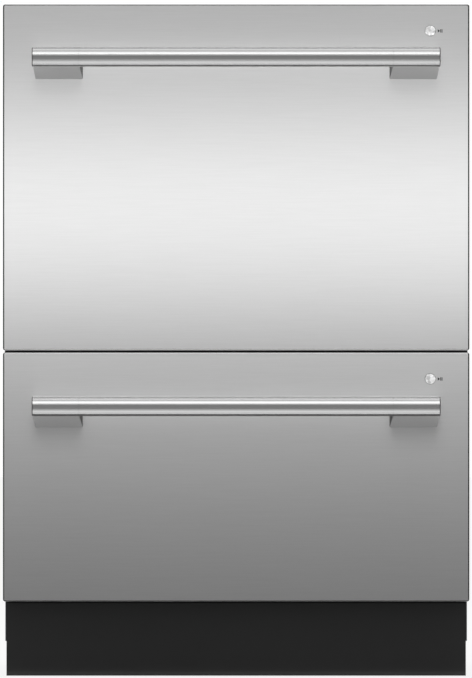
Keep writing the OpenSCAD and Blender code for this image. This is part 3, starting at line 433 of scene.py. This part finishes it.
def block(low, high):
    """A bmesh with one box, for cutters."""
    bm = bmesh.new()
    bmesh.ops.create_cube(bm, size=1.0)
    middle, size = (Vector(low) + Vector(high)) / 2, Vector(high) - Vector(low)
    bmesh.ops.transform(bm, matrix=Matrix.LocRotScale(middle, None, size), verts=bm.verts)
    return bm


def cut(target, cutter):
    """Takes the cutter's volume away from target for good, and removes the cutter."""
    step = target.modifiers.new("cut", "BOOLEAN")
    step.operation, step.solver, step.object = "DIFFERENCE", "EXACT", cutter
    graph = bpy.context.evaluated_depsgraph_get()
    result = bpy.data.meshes.new_from_object(target.evaluated_get(graph))
    target.modifiers.clear()
    old, target.data = target.data, result
    bpy.data.meshes.remove(old)
    spare = cutter.data
    bpy.data.objects.remove(cutter)
    bpy.data.meshes.remove(spare)


trial = block((0, 0, 0), (1, 2, 3))
print("a trial block of 1 by 2 by 3 holds", round(trial.calc_volume(), 3))
trial.free()

# %% [markdown]
# ## The steel fronts
# Each front is one sheet, 1 mm thick, folded back 18 mm on all four sides. A press brake can't fold a knife
# edge, so the fold has an outer radius of 1.7 mm; on the upright folds dark steel, painted shade, draws the
# thin dark line at the sides of the front. A box with a bevel would look the same from the front, but not
# from behind when the drawer is open, so the profile of the real sheet is followed: face, fold, flange, and
# back along the inside.

# %% The outline and section of a folded sheet
FOLD_R = 1.7 * MM          # outer radius of the fold
SHEET = 1.0 * MM           # thickness of the sheet
CORNER_R = 3.0 * MM        # radius of the front's four corners
FOLD_STEPS = 9             # facets round a fold


def rounded_outline(low, high, inset, corner, y, steps=8):
    """Points round an upright rectangle with round corners, at depth y."""
    x0, x1, z0, z1 = low.x + inset, high.x - inset, low.z + inset, high.z - inset
    r = max(corner - inset, 0.4 * MM)
    ring = []
    for cx, cz, start in ((x1 - r, z1 - r, 0), (x0 + r, z1 - r, 90),
                          (x0 + r, z0 + r, 180), (x1 - r, z0 + r, 270)):
        for i in range(steps + 1):
            a = math.radians(start + 90 * i / steps)
            ring.append(Vector((cx + r * math.cos(a), y, cz + r * math.sin(a))))
    return ring


def fold_section(y_face, y_back):
    """Inset and depth of the points round the sheet's section, from the face to the flange and back."""
    turns = [math.radians(90 * i / FOLD_STEPS) for i in range(FOLD_STEPS + 1)]
    outside = [(FOLD_R * (1 - math.sin(a)), y_face + FOLD_R * (1 - math.cos(a))) for a in turns]
    inner = FOLD_R - SHEET
    inside = [(FOLD_R - inner * math.sin(a), y_face + FOLD_R - inner * math.cos(a))
              for a in reversed(turns)]
    return outside + [(0.0, y_back), (SHEET, y_back)] + inside


print("points round the section of a sheet:", len(fold_section(0.0, 18 * MM)))

# %% [markdown]
# ## Fold the two fronts
# The flat face and the folded edge are separate objects, so that each can have its own lamps.
# The face is drilled for the button. The top flange has a long opening for the control strip,
# and only a lip of it stays in front of the strip.

# %% Faces and edges
BUTTON_HOLE_R = 7.1 * MM
BUTTON_DROP = 0.6 * MM     # the button sits this much below the middle of its solid
LIP = 4.5 * MM             # depth of the lip along the top edge
LIP_END = 12 * MM          # the opening behind the lip ends this far from the sides
PAST = 1.0 * MM            # how far a cutter reaches past what it cuts


def steel_face(side):
    """The flat face with its button hole."""
    low, high = FRONT_BOX[side]
    bm = bmesh.new()
    skin(bm, [rounded_outline(low, high, FOLD_R, CORNER_R, y) for y in (low.y, low.y + SHEET)])
    face = to_object(side + "_steel_front", bm, brushed_steel, side + "_drawer", side + "_front_panel")
    centre = (BUTTON_BOX[side][0] + BUTTON_BOX[side][1]) / 2
    drill = bmesh.new()
    turned(drill, [(low.y - 5 * MM, BUTTON_HOLE_R), (low.y + 5 * MM, BUTTON_HOLE_R)],
           (centre.x, 0, centre.z - BUTTON_DROP), "Y", 64)
    cut(face, cutter_of(drill))
    return face


def steel_edge(side):
    """The fold and flange round a front; the upright folds get dark steel, painted shade, for a thin dark
    line.
    """
    low, high = FRONT_BOX[side]
    section = fold_section(low.y, high.y)
    bm = bmesh.new()
    skin(bm, [rounded_outline(low, high, inset, CORNER_R, y) for inset, y in section + section[:1]],
         caps=(False, False))
    bmesh.ops.remove_doubles(bm, verts=bm.verts, dist=1e-6)
    edge = to_object(side + "_steel_edge", bm, folded_steel, side + "_drawer", side + "_front_panel")
    # the upright folds get dark steel: painted shade for the thin dark line at the sides
    paint_shade_on_faces(edge, lambda face: 0.2 < abs(face.normal.x) < 0.99)
    cut(edge, cutter_of(block((low.x + LIP_END, low.y + LIP, high.z - SHEET - PAST),
                              (high.x - LIP_END, high.y + PAST, high.z + PAST))))
    return edge


steel_fronts, steel_edges = zip(*[(steel_face(side), steel_edge(side)) for side in SIDES])
print("fronts:", [(o.name, len(o.data.polygons)) for o in steel_fronts + steel_edges])

# %% [markdown]
# ## The bar handles: tube and sleeves
# A handle is a round tube between two posts. Each post is one piece with the sleeve that
# carries the tube's end, so a hairline shows where tube and sleeve meet. Tube and sleeves are
# lathed from a profile: pairs of a distance along the axis and a radius.

# %% Turn the tubes and sleeves
SLEEVE = 60.8 * MM         # from the handle's end to the middle of the seam
SEAM = 0.9 * MM
TUBE_WALL = 1.5 * MM
TUBE_CHAMFER = 0.25 * MM
SLEEVE_CHAMFER = 1.1 * MM  # at the handle's end
SEAM_CHAMFER = 0.3 * MM


def handle_tube(side):
    """The tube between the sleeves, with a slight chamfer at each end."""
    low, high = BAR_BOX[side]
    centre = (low + high) / 2
    half = (high.x - low.x) / 2
    bore, small = BAR_R - TUBE_WALL, TUBE_CHAMFER
    profile = [(-half, bore), (-half, BAR_R - small), (-half + small, BAR_R), (half - small, BAR_R),
               (half, BAR_R - small), (half, bore)]
    bm = bmesh.new()
    turned(bm, profile + [profile[0]], (0, centre.y, centre.z), "X", caps=(False, False))
    bmesh.ops.remove_doubles(bm, verts=bm.verts, dist=1e-6)
    made = to_object(side + "_handle_tube", bm, turned_steel, side + "_drawer", side + "_handle_bar")
    return made


def handle_sleeve(side, sign):
    """The sleeve over one end of the tube, at the right (1) or the left (-1)."""
    end = POST_BOX[side][1].x
    inner = end - SLEEVE + SEAM / 2
    profile = [(inner, BAR_R - SEAM_CHAMFER), (inner + SEAM_CHAMFER, BAR_R),
               (end - SLEEVE_CHAMFER, BAR_R),
               (end - SLEEVE_CHAMFER * 0.35, BAR_R - SLEEVE_CHAMFER * 0.6),
               (end, BAR_R - SLEEVE_CHAMFER * 1.6)]
    bm = bmesh.new()
    turned(bm, [(sign * x, r) for x, r in profile], (0, BAR_Y, BAR_Z[side]), "X")
    made = to_object(f"{side}_handle_sleeve_{'right' if sign > 0 else 'left'}", bm, turned_steel,
                     side + "_drawer", side + "_handle_posts", sharp=25)
    paint_shade_on_faces(made, lambda face: 0.3 < face.normal.x * sign < 0.95)     # the chamfer at the handle's end gets dark steel, painted shade
    return made


handles = {side: [handle_tube(side), handle_sleeve(side, -1), handle_sleeve(side, 1)] for side in SIDES}
print("handle pieces:", [o.name for side in SIDES for o in handles[side]])

# %% [markdown]
# ## The bar handles: posts
# The posts lean a little towards the middle, and they are deeper where they meet the steel. A post is a
# block with a small end at the tube and a larger one at the steel, and a bevel rounds its long edges. The
# side that faces the middle gets dark steel: painted shade.

# %% Build the posts
POST_ROUND = 1.6 * MM      # radius of the long edges
POST_INSET = 1.0 * MM      # from the handle's end to the post
LEAN_OUTER = 2.5 * MM      # how far the outer side leans in between tube and steel
LEAN_INNER = 3.7 * MM      # the same for the inner side
POST_DROP = 2.4 * MM       # how far the underside runs below its solid at the steel


def handle_post(side, sign):
    """The block between a sleeve and the steel front, at the right (1) or the left (-1)."""
    low, high = POST_BOX[side]
    axis_z = BAR_Z[side]
    near, far = high.x - POST_INSET, high.x - SLEEVE
    at_tube = (BAR_Y, 0.0, 0.0, BAR_R * 0.55, -BAR_R + 0.4 * MM)
    at_steel = (FACE_Y, LEAN_OUTER, LEAN_INNER, BAR_R * 0.4, low.z - axis_z - POST_DROP)
    ends = []
    for y, outer_lean, inner_lean, top, bottom in (at_tube, at_steel):
        x_outer, x_inner = sign * (near - outer_lean), sign * (far - inner_lean)
        ends.append([(x_outer, y, axis_z + top), (x_inner, y, axis_z + top),
                     (x_inner, y, axis_z + bottom), (x_outer, y, axis_z + bottom)])
    bm = bmesh.new()
    loops = skin(bm, ends)
    long_edges = [e for e in bm.edges if not any(set(e.verts) <= set(loop) for loop in loops)]
    bmesh.ops.bevel(bm, geom=long_edges, offset=POST_ROUND, segments=6, profile=0.5, affect="EDGES")
    made = to_object(f"{side}_handle_post_{'right' if sign > 0 else 'left'}", bm, satin_steel,
                     side + "_drawer", side + "_handle_posts", sharp=30)
    # the side that faces the middle gets dark steel, painted shade
    paint_shade_on_faces(made, lambda face: face.normal.x * sign < -0.9)
    return made


posts = [handle_post(side, sign) for side in SIDES for sign in (-1, 1)]
print("posts:", [o.name for o in posts])

# %% [markdown]
# ## Start buttons and their marks
# The button stands 0.8 mm proud of the steel. Its face is slightly crowned inside a raised rim,
# and a collar behind the steel keeps it in. Beside it the steel carries a small printed mark, a
# triangle and two bars, which here is a film 0.03 mm thick, because a texture would need an
# image.

# %% Buttons and marks
BUTTON_PROFILE = [         # millimetres behind the foremost point, and radius
    (0.05, 0.01), (0.06, 2.0), (0.12, 4.0), (0.22, 5.55),       # crowned face
    (0.32, 5.8), (0.05, 6.0),                                   # groove
    (0.0, 6.2), (0.0, 6.45), (0.1, 6.65), (0.35, 6.75),         # rim
    (2.1, 6.75), (2.1, 7.95)]                                   # side and collar
COLLAR_FROM = 1.5 * MM     # behind this depth the button gets dark steel, painted shade, so the gap round it looks dark
MARK_X = 258.9 * MM
MARK_DROP = 1.4 * BUTTON_DROP
MARK_FILM = 0.03
MARK_SHAPES = [            # x and z in millimetres, from the mark's left end and middle
    [(0, -2.1), (0, 2.1), (2.9, 0)],
    [(3.3, -2.2), (3.3, 2.2), (4.3, 2.2), (4.3, -2.2)],
    [(5.0, -2.2), (5.0, 2.2), (6.0, 2.2), (6.0, -2.2)]]


def start_button(side):
    """A turned button: crowned face, groove and rim, and the collar that keeps it in."""
    low, high = BUTTON_BOX[side]
    centre = (low + high) / 2
    profile = [(low.y + depth * MM, radius * MM) for depth, radius in BUTTON_PROFILE]
    profile.append((high.y, profile[-1][1]))
    bm = bmesh.new()
    turned(bm, profile, (centre.x, 0, centre.z - BUTTON_DROP), "Y", 72)
    made = to_object(side + "_start_disc", bm, pearl_chrome, side + "_start_button",
                     side + "_start_button", sharp=50)
    # the collar gets dark steel: painted shade in the gap round the button
    paint_shade_on_faces(made, lambda face: face.center.y > low.y + COLLAR_FROM)
    return made


def start_mark(side):
    """A triangle and two bars, 4 mm high, as a thin film on the steel."""
    low, high = BUTTON_BOX[side]
    z = (low.z + high.z) / 2 - MARK_DROP
    bm = bmesh.new()
    for shape in MARK_SHAPES:
        skin(bm, [[Vector((MARK_X + px * MM, FACE_Y - depth * MM, z + pz * MM)) for px, pz in shape]
                  for depth in (MARK_FILM, 0.0)])
    return to_object(side + "_start_mark", bm, mark_ink, side + "_drawer")


buttons = [start_button(side) for side in SIDES]
marks = [start_mark(side) for side in SIDES]
print("buttons and marks:", [o.name for o in buttons + marks])

# %% [markdown]
# ## The kick plate
# The black plate near the floor is steel sheet, 1.2 mm thick, with its top edge folded back and
# powder coated. It is drawn as one profile, from the floor round the fold to the back of the
# flange, and pulled across the width. It reaches the floor, so no light shows under it.

# %% Fold the kick plate
KICK_SHEET = 1.2 * MM
KICK_FOLD_R = 2.5 * MM     # outer radius
KICK_FOOT = 0.3 * MM       # the lower edge just clears the floor
KICK_STEPS = 8


def kick_plate():
    """One folded sheet across the whole width."""
    low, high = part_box("toe_kick")
    sheet, r = KICK_SHEET, KICK_FOLD_R
    turns = [math.radians(90 * i / KICK_STEPS) for i in range(KICK_STEPS + 1)]
    outside = [(low.y + r - r * math.cos(a), high.z - r + r * math.sin(a)) for a in turns]
    inside = [(low.y + r - (r - sheet) * math.cos(a), high.z - r + (r - sheet) * math.sin(a))
              for a in reversed(turns)]
    profile = ([(low.y, KICK_FOOT)] + outside + [(high.y, high.z), (high.y, high.z - sheet)]
               + inside + [(low.y + sheet, KICK_FOOT)])
    bm = bmesh.new()
    skin(bm, [[Vector((x, y, z)) for y, z in profile] for x in (low.x, high.x)])
    made = to_object("kick_plate", bm, kick_paint, "cabinet", "toe_kick", sharp=30)
    return made


kick = kick_plate()
print("kick plate:", len(kick.data.polygons), "faces")

# %% [markdown]
# ## The solids that stay
# The other solids have the right shape already. They only need their finish, and some of them edges that
# catch the light: a weld joins the split corners of the imported mesh, and a bevel rounds each sharp edge
# by up to a millimetre. Both are modifiers, so the mesh itself stays as it was measured.

# %% Which solid gets which finish
DRESS = {
    "side_panel_left": galvanised, "side_panel_right": galvanised, "top_panel": galvanised,
    "back_panel": galvanised, "base_pan": galvanised, "middle_shelf": galvanised,
    "front_trim": trim_abs, "fixed_rails": zinc_plate, "lid_actuators": valve_pa,
    "water_inlet_valve": valve_pa, "drain_connector": basket_pp, "power_inlet": trim_abs,
    "foot_front_left": zinc_plate, "foot_front_right": zinc_plate,
    "foot_back_left": zinc_plate, "foot_back_right": zinc_plate,
    "upper_cup_shelf": rack_nylon,
}
IN_EACH_DRAWER = {
    "lid": lid_pp, "lid_seal": seal_rubber, "tub": tub_pp, "inner_front": inner_abs,
    "control_strip": strip_gloss, "dispenser": dispenser_abs, "dispenser_door": door_abs,
    "rinse_aid_cap": cap_pp, "spray_arm": arm_pp, "filter_plate": filter_pp,
    "drain_filter": filter_pp, "rack": rack_nylon, "folding_tines": rack_nylon,
    "cutlery_basket": basket_pp, "tub_rails": zinc_plate, "mid_rails": zinc_plate,
    "wash_motor": motor_pbt,
}
for side in SIDES:
    for part, material in IN_EACH_DRAWER.items():
        DRESS[f"{side}_{part}"] = material
print("solids with a finish:", len(DRESS))

# %% [markdown]
# ## Rounded edges
# No real edge is perfectly sharp. Pressed sheet and mouldings have edges of 0.5 to 1 mm radius,
# and such an edge draws the thin light line that makes a part look solid.

# %% Dress the solids and round their edges
EDGE_RADIUS = {            # millimetres
    "side_panel_left": 0.6, "side_panel_right": 0.6, "top_panel": 0.6, "back_panel": 0.5,
    "base_pan": 0.6, "front_trim": 0.6, "upper_control_strip": 0.5, "lower_control_strip": 0.5,
    "upper_wash_motor": 1.0, "lower_wash_motor": 1.0, "upper_spray_arm": 0.8, "lower_spray_arm": 0.8}


def round_edges(node, width):
    """Welds the mesh's split corners and rounds its sharp edges, without touching the mesh itself."""
    weld = node.modifiers.new("weld", "WELD")
    weld.merge_threshold = 0.01 * MM
    bevel = node.modifiers.new("round", "BEVEL")
    bevel.width, bevel.segments, bevel.limit_method = width, 2, "ANGLE"
    bevel.angle_limit = math.radians(50)
    bevel.harden_normals = True


for name, material in DRESS.items():
    node = NODES[name]
    node.data.materials.clear()
    node.data.materials.append(material)
    if name in EDGE_RADIUS:
        round_edges(node, EDGE_RADIUS[name] * MM)
print("solids dressed:", len(DRESS), "with rounded edges:", len(EDGE_RADIUS))

# %% [markdown]
# ## The studio
# The room is white: camera, mirror and glass rays see it at full strength, and everything else
# gets softer light from it. One plain white world would do for both, but then the machine would
# be lit from everywhere and lose its shading.

# %% The white room
scene = bpy.context.scene
room = bpy.data.worlds.new("white_room")
scene.world = room
room.use_nodes = True
room.node_tree.nodes.clear()
ROOM_LIGHT = 0.7           # what matt surfaces get from the room


def seen_rays(tree):
    """1 for camera, mirror and glass rays, 0 for the rest."""
    rays = add(tree, "LightPath")
    seen = add(tree, "Math", {0: rays.outputs["Is Camera Ray"], 1: rays.outputs["Is Glossy Ray"]},
               operation="MAXIMUM")
    seen = add(tree, "Math", {0: seen.outputs[0], 1: rays.outputs["Is Transmission Ray"]},
               operation="MAXIMUM")
    return seen.outputs[0]


soft = add(room.node_tree, "Background", {"Color": WHITE, "Strength": ROOM_LIGHT})
full = add(room.node_tree, "Background", {"Color": WHITE, "Strength": 1.0})
both = add(room.node_tree, "MixShader", {0: seen_rays(room.node_tree), 1: soft.outputs[0],
                                         2: full.outputs[0]})
add(room.node_tree, "OutputWorld", {"Surface": both.outputs[0]})
print("world:", room.name, "with", len(room.node_tree.nodes), "nodes")

# %% [markdown]
# ## The floor
# The floor is matt white paper. Most of it glows for the rays that see it, so it stays white,
# and the rest takes the light and so keeps some of the machine's shadow. A bright lamp on it
# could make it white too, but would also light the machine from below.

# %% Paper on the floor
FLOOR_GLOW = 0.82          # the share that glows
FLOOR_HALF = 20            # metres
FLOOR_CORNERS = [(x * FLOOR_HALF, y * FLOOR_HALF, 0) for x, y in ((-1, -1), (1, -1), (1, 1), (-1, 1))]


def floor_finish():
    """Matt white paper, part of it glowing to the camera, so that it stays white and shows a shadow."""
    material, tree = finish_named("white_studio_floor")
    share = add(tree, "Math", {0: seen_rays(tree), 1: FLOOR_GLOW}, operation="MULTIPLY")
    matt = add(tree, "BsdfDiffuse", {"Color": srgb("#f4f4f4")})
    glow = add(tree, "Emission", {"Color": WHITE, "Strength": 1.0})
    mixed = add(tree, "MixShader", {0: share.outputs[0], 1: matt.outputs[0], 2: glow.outputs[0]})
    add(tree, "OutputMaterial", {"Surface": mixed.outputs[0]})
    return material


def flat_card(name, corners, material):
    """A sheet with four corners that belongs to the studio."""
    bm = bmesh.new()
    bm.faces.new([bm.verts.new(p) for p in corners])
    mesh = bpy.data.meshes.new(name)
    bm.to_mesh(mesh)
    bm.free()
    made = bpy.data.objects.new(name, mesh)
    scene.collection.objects.link(made)
    mesh.materials.append(material)
    return made


studio_floor = flat_card("studio_floor", FLOOR_CORNERS, floor_finish())
print("floor:", [round(size) for size in studio_floor.dimensions[:2]], "metres")

# %% [markdown]
# ## Grey cards round the fronts
# Steel shows what stands round it, so a photographer puts cards there. Here a dark grey card
# stands before the fronts, darker ones hang above and lie on the floor, and mid grey ones stand
# at the sides, which keeps the cabinet's flanks from going black. Only mirror rays see the
# cards, so they shape the reflections and shade nothing. They stand far enough off for an open
# drawer with its lamps.

# %% Cards that only reflections see
CARD_Y = FACE_Y - 1.20     # the front card
CARD_X = 1.8               # half the distance between the side cards
CARD_TOP = 1.7
CARD_BACK = 0.45           # the card above reaches back to here
CARD_FOOT = 0.01           # the standing cards end just above the floor
CARD_FLOOR = 0.004         # height of the card that lies on the floor
CARD_UNDER = 0.04          # how far that card reaches under the fronts


def card_finish(name, strength):
    """Evenly lit grey card: a mirror image of it is one flat grey."""
    material, tree = finish_named(name)
    glow = add(tree, "Emission", {"Color": WHITE, "Strength": strength})
    add(tree, "OutputMaterial", {"Surface": glow.outputs[0]})
    return material


def level_corners(y_front, y_back, z):
    """Corners of a level card across the studio."""
    return [(-CARD_X, y_front, z), (CARD_X, y_front, z), (CARD_X, y_back, z), (-CARD_X, y_back, z)]


def side_corners(x):
    """Corners of a card that stands at one side of the fronts."""
    return [(x, CARD_Y, CARD_FOOT), (x, 0.0, CARD_FOOT), (x, 0.0, CARD_TOP), (x, CARD_Y, CARD_TOP)]


grey_card = card_finish("grey_card", 0.16)
dark_card = card_finish("dark_card", 0.10)
mid_card = card_finish("mid_grey_card", 0.30)
CARDS = [flat_card(name, corners, material) for name, corners, material in (
    ("card_front", [(-CARD_X, CARD_Y, CARD_FOOT), (CARD_X, CARD_Y, CARD_FOOT),
                    (CARD_X, CARD_Y, CARD_TOP), (-CARD_X, CARD_Y, CARD_TOP)], grey_card),
    ("card_left", side_corners(-CARD_X), mid_card),
    ("card_right", side_corners(CARD_X), mid_card),
    ("card_above", level_corners(CARD_Y, CARD_BACK, CARD_TOP), dark_card),
    ("card_floor", level_corners(CARD_Y, FACE_Y + CARD_UNDER, CARD_FLOOR), dark_card))]
for card in CARDS:
    card.visible_camera = card.visible_diffuse = card.visible_transmission = False
    card.visible_shadow = card.visible_volume_scatter = False
print("cards:", [card.name for card in CARDS])

# %% [markdown]
# ## Lamps for the whole machine
# Large soft lamps light everything: one hangs overhead, one stands behind, and one at each side
# lights the parts behind the fronts. A lamp can be linked to the pieces that may receive its
# light. The overhead lamp leaves out the handles, because these get strips of their own.

# %% Soft lamps
def lamp(name, place, aim, size, radiance, receivers=None, body=None):
    """A soft rectangular lamp, unseen by the camera; it may have receivers and ride on a body."""
    data = bpy.data.lights.new(name, "AREA")
    data.shape, data.size, data.size_y = "RECTANGLE", size[0], size[1]
    data.energy = radiance * math.pi * size[0] * size[1]
    made = bpy.data.objects.new(name, data)
    made.location = place
    made.rotation_euler = (Vector(aim) - Vector(place)).to_track_quat("-Z", "Y").to_euler()
    made.visible_camera = False
    scene.collection.objects.link(made)
    if receivers:
        made.light_linking.receiver_collection = receivers
    if body:
        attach(made, body)
    return made


def linked(name, pieces):
    """A collection of pieces that a lamp can be linked to."""
    group = bpy.data.collections.new(name)
    for piece in pieces:
        group.objects.link(piece)
    return group


tubes = [piece for side in SIDES for piece in handles[side]]
all_but_tubes = linked("all_but_the_handles",
                       [o for o in scene.objects if o.type == "MESH" and o not in tubes])
lamp("overhead", place=(0.0, -0.4, 3.0), aim=(0, 0, 0.4), size=(2.4, 2.0), radiance=1.2,
     receivers=all_but_tubes)
lamp("back_fill", place=(1.2, 2.8, 1.8), aim=(0, 0, 0.4), size=(2.0, 1.6), radiance=1.0)
behind = linked("behind_the_fronts", [NODES[name] for name in DRESS])
for name, x in (("left_fill", -1.7), ("right_fill", 1.7)):
    lamp(name, place=(x, 0.35, 1.0), aim=(0, 0.1, 0.5), size=(1.6, 1.6), radiance=0.9, receivers=behind)
print("lamps so far:", len(bpy.data.lights))

# %% [markdown]
# ## Strips before the fronts
# The soft gradient on brushed steel is the smeared mirror image of what stands before it. So
# level strip lamps stand one above the other before each front and are linked to that front
# alone, and each brightens one height. The posts block the strips above the handle, which
# leaves the darker smear below them that the real steel shows. All these lamps ride on the
# drawer that they light, as a photographer moves them along, so a front looks the same whether
# its drawer is shut or open.

# %% Front strips
LAMP_Y = FACE_Y - 0.60
FRONT_STRIP, STRIP_STEP = 2.2, 0.09     # length and width of the strips
FRONT_STRIPS = {                        # height of the lowest strip, and the radiance of each from there up
    "upper": (0.35, [0, 0.2, 1.72, 2.85, 1.2, 0, 0, 0, 0.6, 1.95, 2.7, 2.5, 1.7, 0.75]),
    "lower": (0.00, [0.15, 0.07, 0.1, 0.3, 0.35, 0.4, 0.83, 1.6, 2.4, 3.1, 3.8])}
for side, front, button in zip(SIDES, steel_fronts, buttons):
    group = linked(side + "_front", [front, button])
    alone = linked(side + "_front_alone", [front])
    with_posts = linked(side + "_front_and_posts", [front, *posts])
    lowest, radiances = FRONT_STRIPS[side]
    for i, radiance in enumerate(radiances):
        z = lowest + STRIP_STEP * i
        strip = lamp(f"{side}_front_strip_{i}", (0, LAMP_Y, z), (0, 0, z), (FRONT_STRIP, STRIP_STEP),
                     radiance, group, side + "_drawer")
        strip.light_linking.blocker_collection = with_posts if z > BAR_Z[side] else alone
print("front strips:", {side: len(FRONT_STRIPS[side][1]) for side in SIDES})

# %% [markdown]
# ## Lamps for folds, kick plate and posts
# Two lamps above and two below each front put a thin light line on its level folds: one stands
# before the edge, the other almost straight above or below it. A low lamp gives the kick plate
# its faint sheen, and one under each handle lights the undersides of the posts.

# %% Fold, kick and post lamps
FOLD_OFF, FOLD_LAMP = 0.40, 0.30        # distance of the fold lamps from their edge, and their height
FOLD_PLACES = ((1.0, 0.5), (0.2, 1.0))  # shares of FOLD_OFF that each stands before and beyond the edge
FOLD_LAMPS = {                          # the radiance of both, in that order
    "upper": {"above": (0.2, 1.2), "below": (0.4, 2.0)},
    "lower": {"above": (1.4, 1.7), "below": (1.4, 4.0)}}
for side, edge in zip(SIDES, steel_edges):
    group = linked(side + "_edge", [edge])
    low, high = FRONT_BOX[side]
    for where, z, sign in (("above", high.z, 1), ("below", low.z, -1)):
        for i, (radiance, (before, beyond)) in enumerate(zip(FOLD_LAMPS[side][where], FOLD_PLACES)):
            strip = lamp(f"{side}_fold_lamp_{where}_{i}",
                         (0, FACE_Y - FOLD_OFF * before, z + sign * FOLD_OFF * beyond), (0, FACE_Y, z),
                         (FRONT_STRIP, FOLD_LAMP), radiance, group, side + "_drawer")
            strip.light_linking.blocker_collection = group

lamp("kick_lamp", place=(0, FACE_Y - 0.35, 0.03), aim=(0, FACE_Y, 0.03), size=(2.0, 0.05),
     radiance=0.35, receivers=linked("kick_alone", [kick]))
for side in SIDES:
    group = linked(side + "_posts", [post for post in posts if post.name.startswith(side)])
    z = BAR_Z[side]
    glow = lamp(f"{side}_post_lamp", place=(0, FACE_Y, z - 0.30), aim=(0, FACE_Y - 0.02, z),
                size=(1.2, 0.5), radiance=1.15, receivers=group, body=side + "_drawer")
    glow.light_linking.blocker_collection = group
print("lamps so far:", len(bpy.data.lights))

# %% [markdown]
# ## Strips round the handles
# A turned tube mirrors a half circle of the room in a few millimetres, so its bright and dark
# lines are strips at different angles. They stand on an arc round the tube, from below it to
# above it, and both handles have the same set. They are linked to the tube and its sleeves.

# %% Handle strips
HANDLE_REACH = 0.32        # distance of the strips from the tube's axis
HANDLE_FIRST = -97         # degrees from straight ahead down to the first strip
HANDLE_STEP = 15           # degrees between two strips, seen from the tube
HANDLE_STRIP = 0.9         # their length
HANDLE_STRIPS = [1.05, 0.75, 1.1, 0.85, 0.45, 0.17, 0.17, 0.1, 0.45, 1.85, 1.6, 0.6, 0.9, 1.2, 0.6]
for side in SIDES:
    centre = (BAR_BOX[side][0] + BAR_BOX[side][1]) / 2
    group = linked(side + "_handle", handles[side])
    for i, radiance in enumerate(HANDLE_STRIPS):
        turn = math.radians(HANDLE_STEP * i + HANDLE_FIRST)
        place = centre + Vector((0, -math.cos(turn), math.sin(turn))) * HANDLE_REACH
        size = (HANDLE_STRIP, HANDLE_REACH * math.radians(HANDLE_STEP))
        strip = lamp(f"{side}_handle_strip_{i}", place, centre, size, radiance, group, side + "_drawer")
        strip.light_linking.blocker_collection = group
print("lamps in all:", len(bpy.data.lights))

# %% [markdown]
# ## The camera
# The photograph was taken square on, from far off: upright and level lines stay parallel. A
# long lens at 14 m gives that. An orthographic camera would too, but would hide how far the
# handles stand out. The picture's height covers 871 mm at the fronts.

# %% Camera
DISTANCE = 14.0
VIEW_HEIGHT = 0.8707
VIEW_X, VIEW_Z = -0.0002, 0.4342        # where the middle of the picture meets the fronts
camera_data = bpy.data.cameras.new("square_on")
camera_data.sensor_width = 36.0
camera_data.lens = camera_data.sensor_width * DISTANCE / VIEW_HEIGHT
camera_data.clip_end = 100.0
camera = bpy.data.objects.new("square_on", camera_data)
camera.location = (VIEW_X, FACE_Y - DISTANCE, VIEW_Z)
camera.rotation_euler = (math.radians(90), 0, 0)
scene.collection.objects.link(camera)
scene.camera = camera
scene.view_settings.view_transform = "Standard"
print("camera", tuple(round(v, 3) for v in camera.location), "lens", round(camera_data.lens, 1))
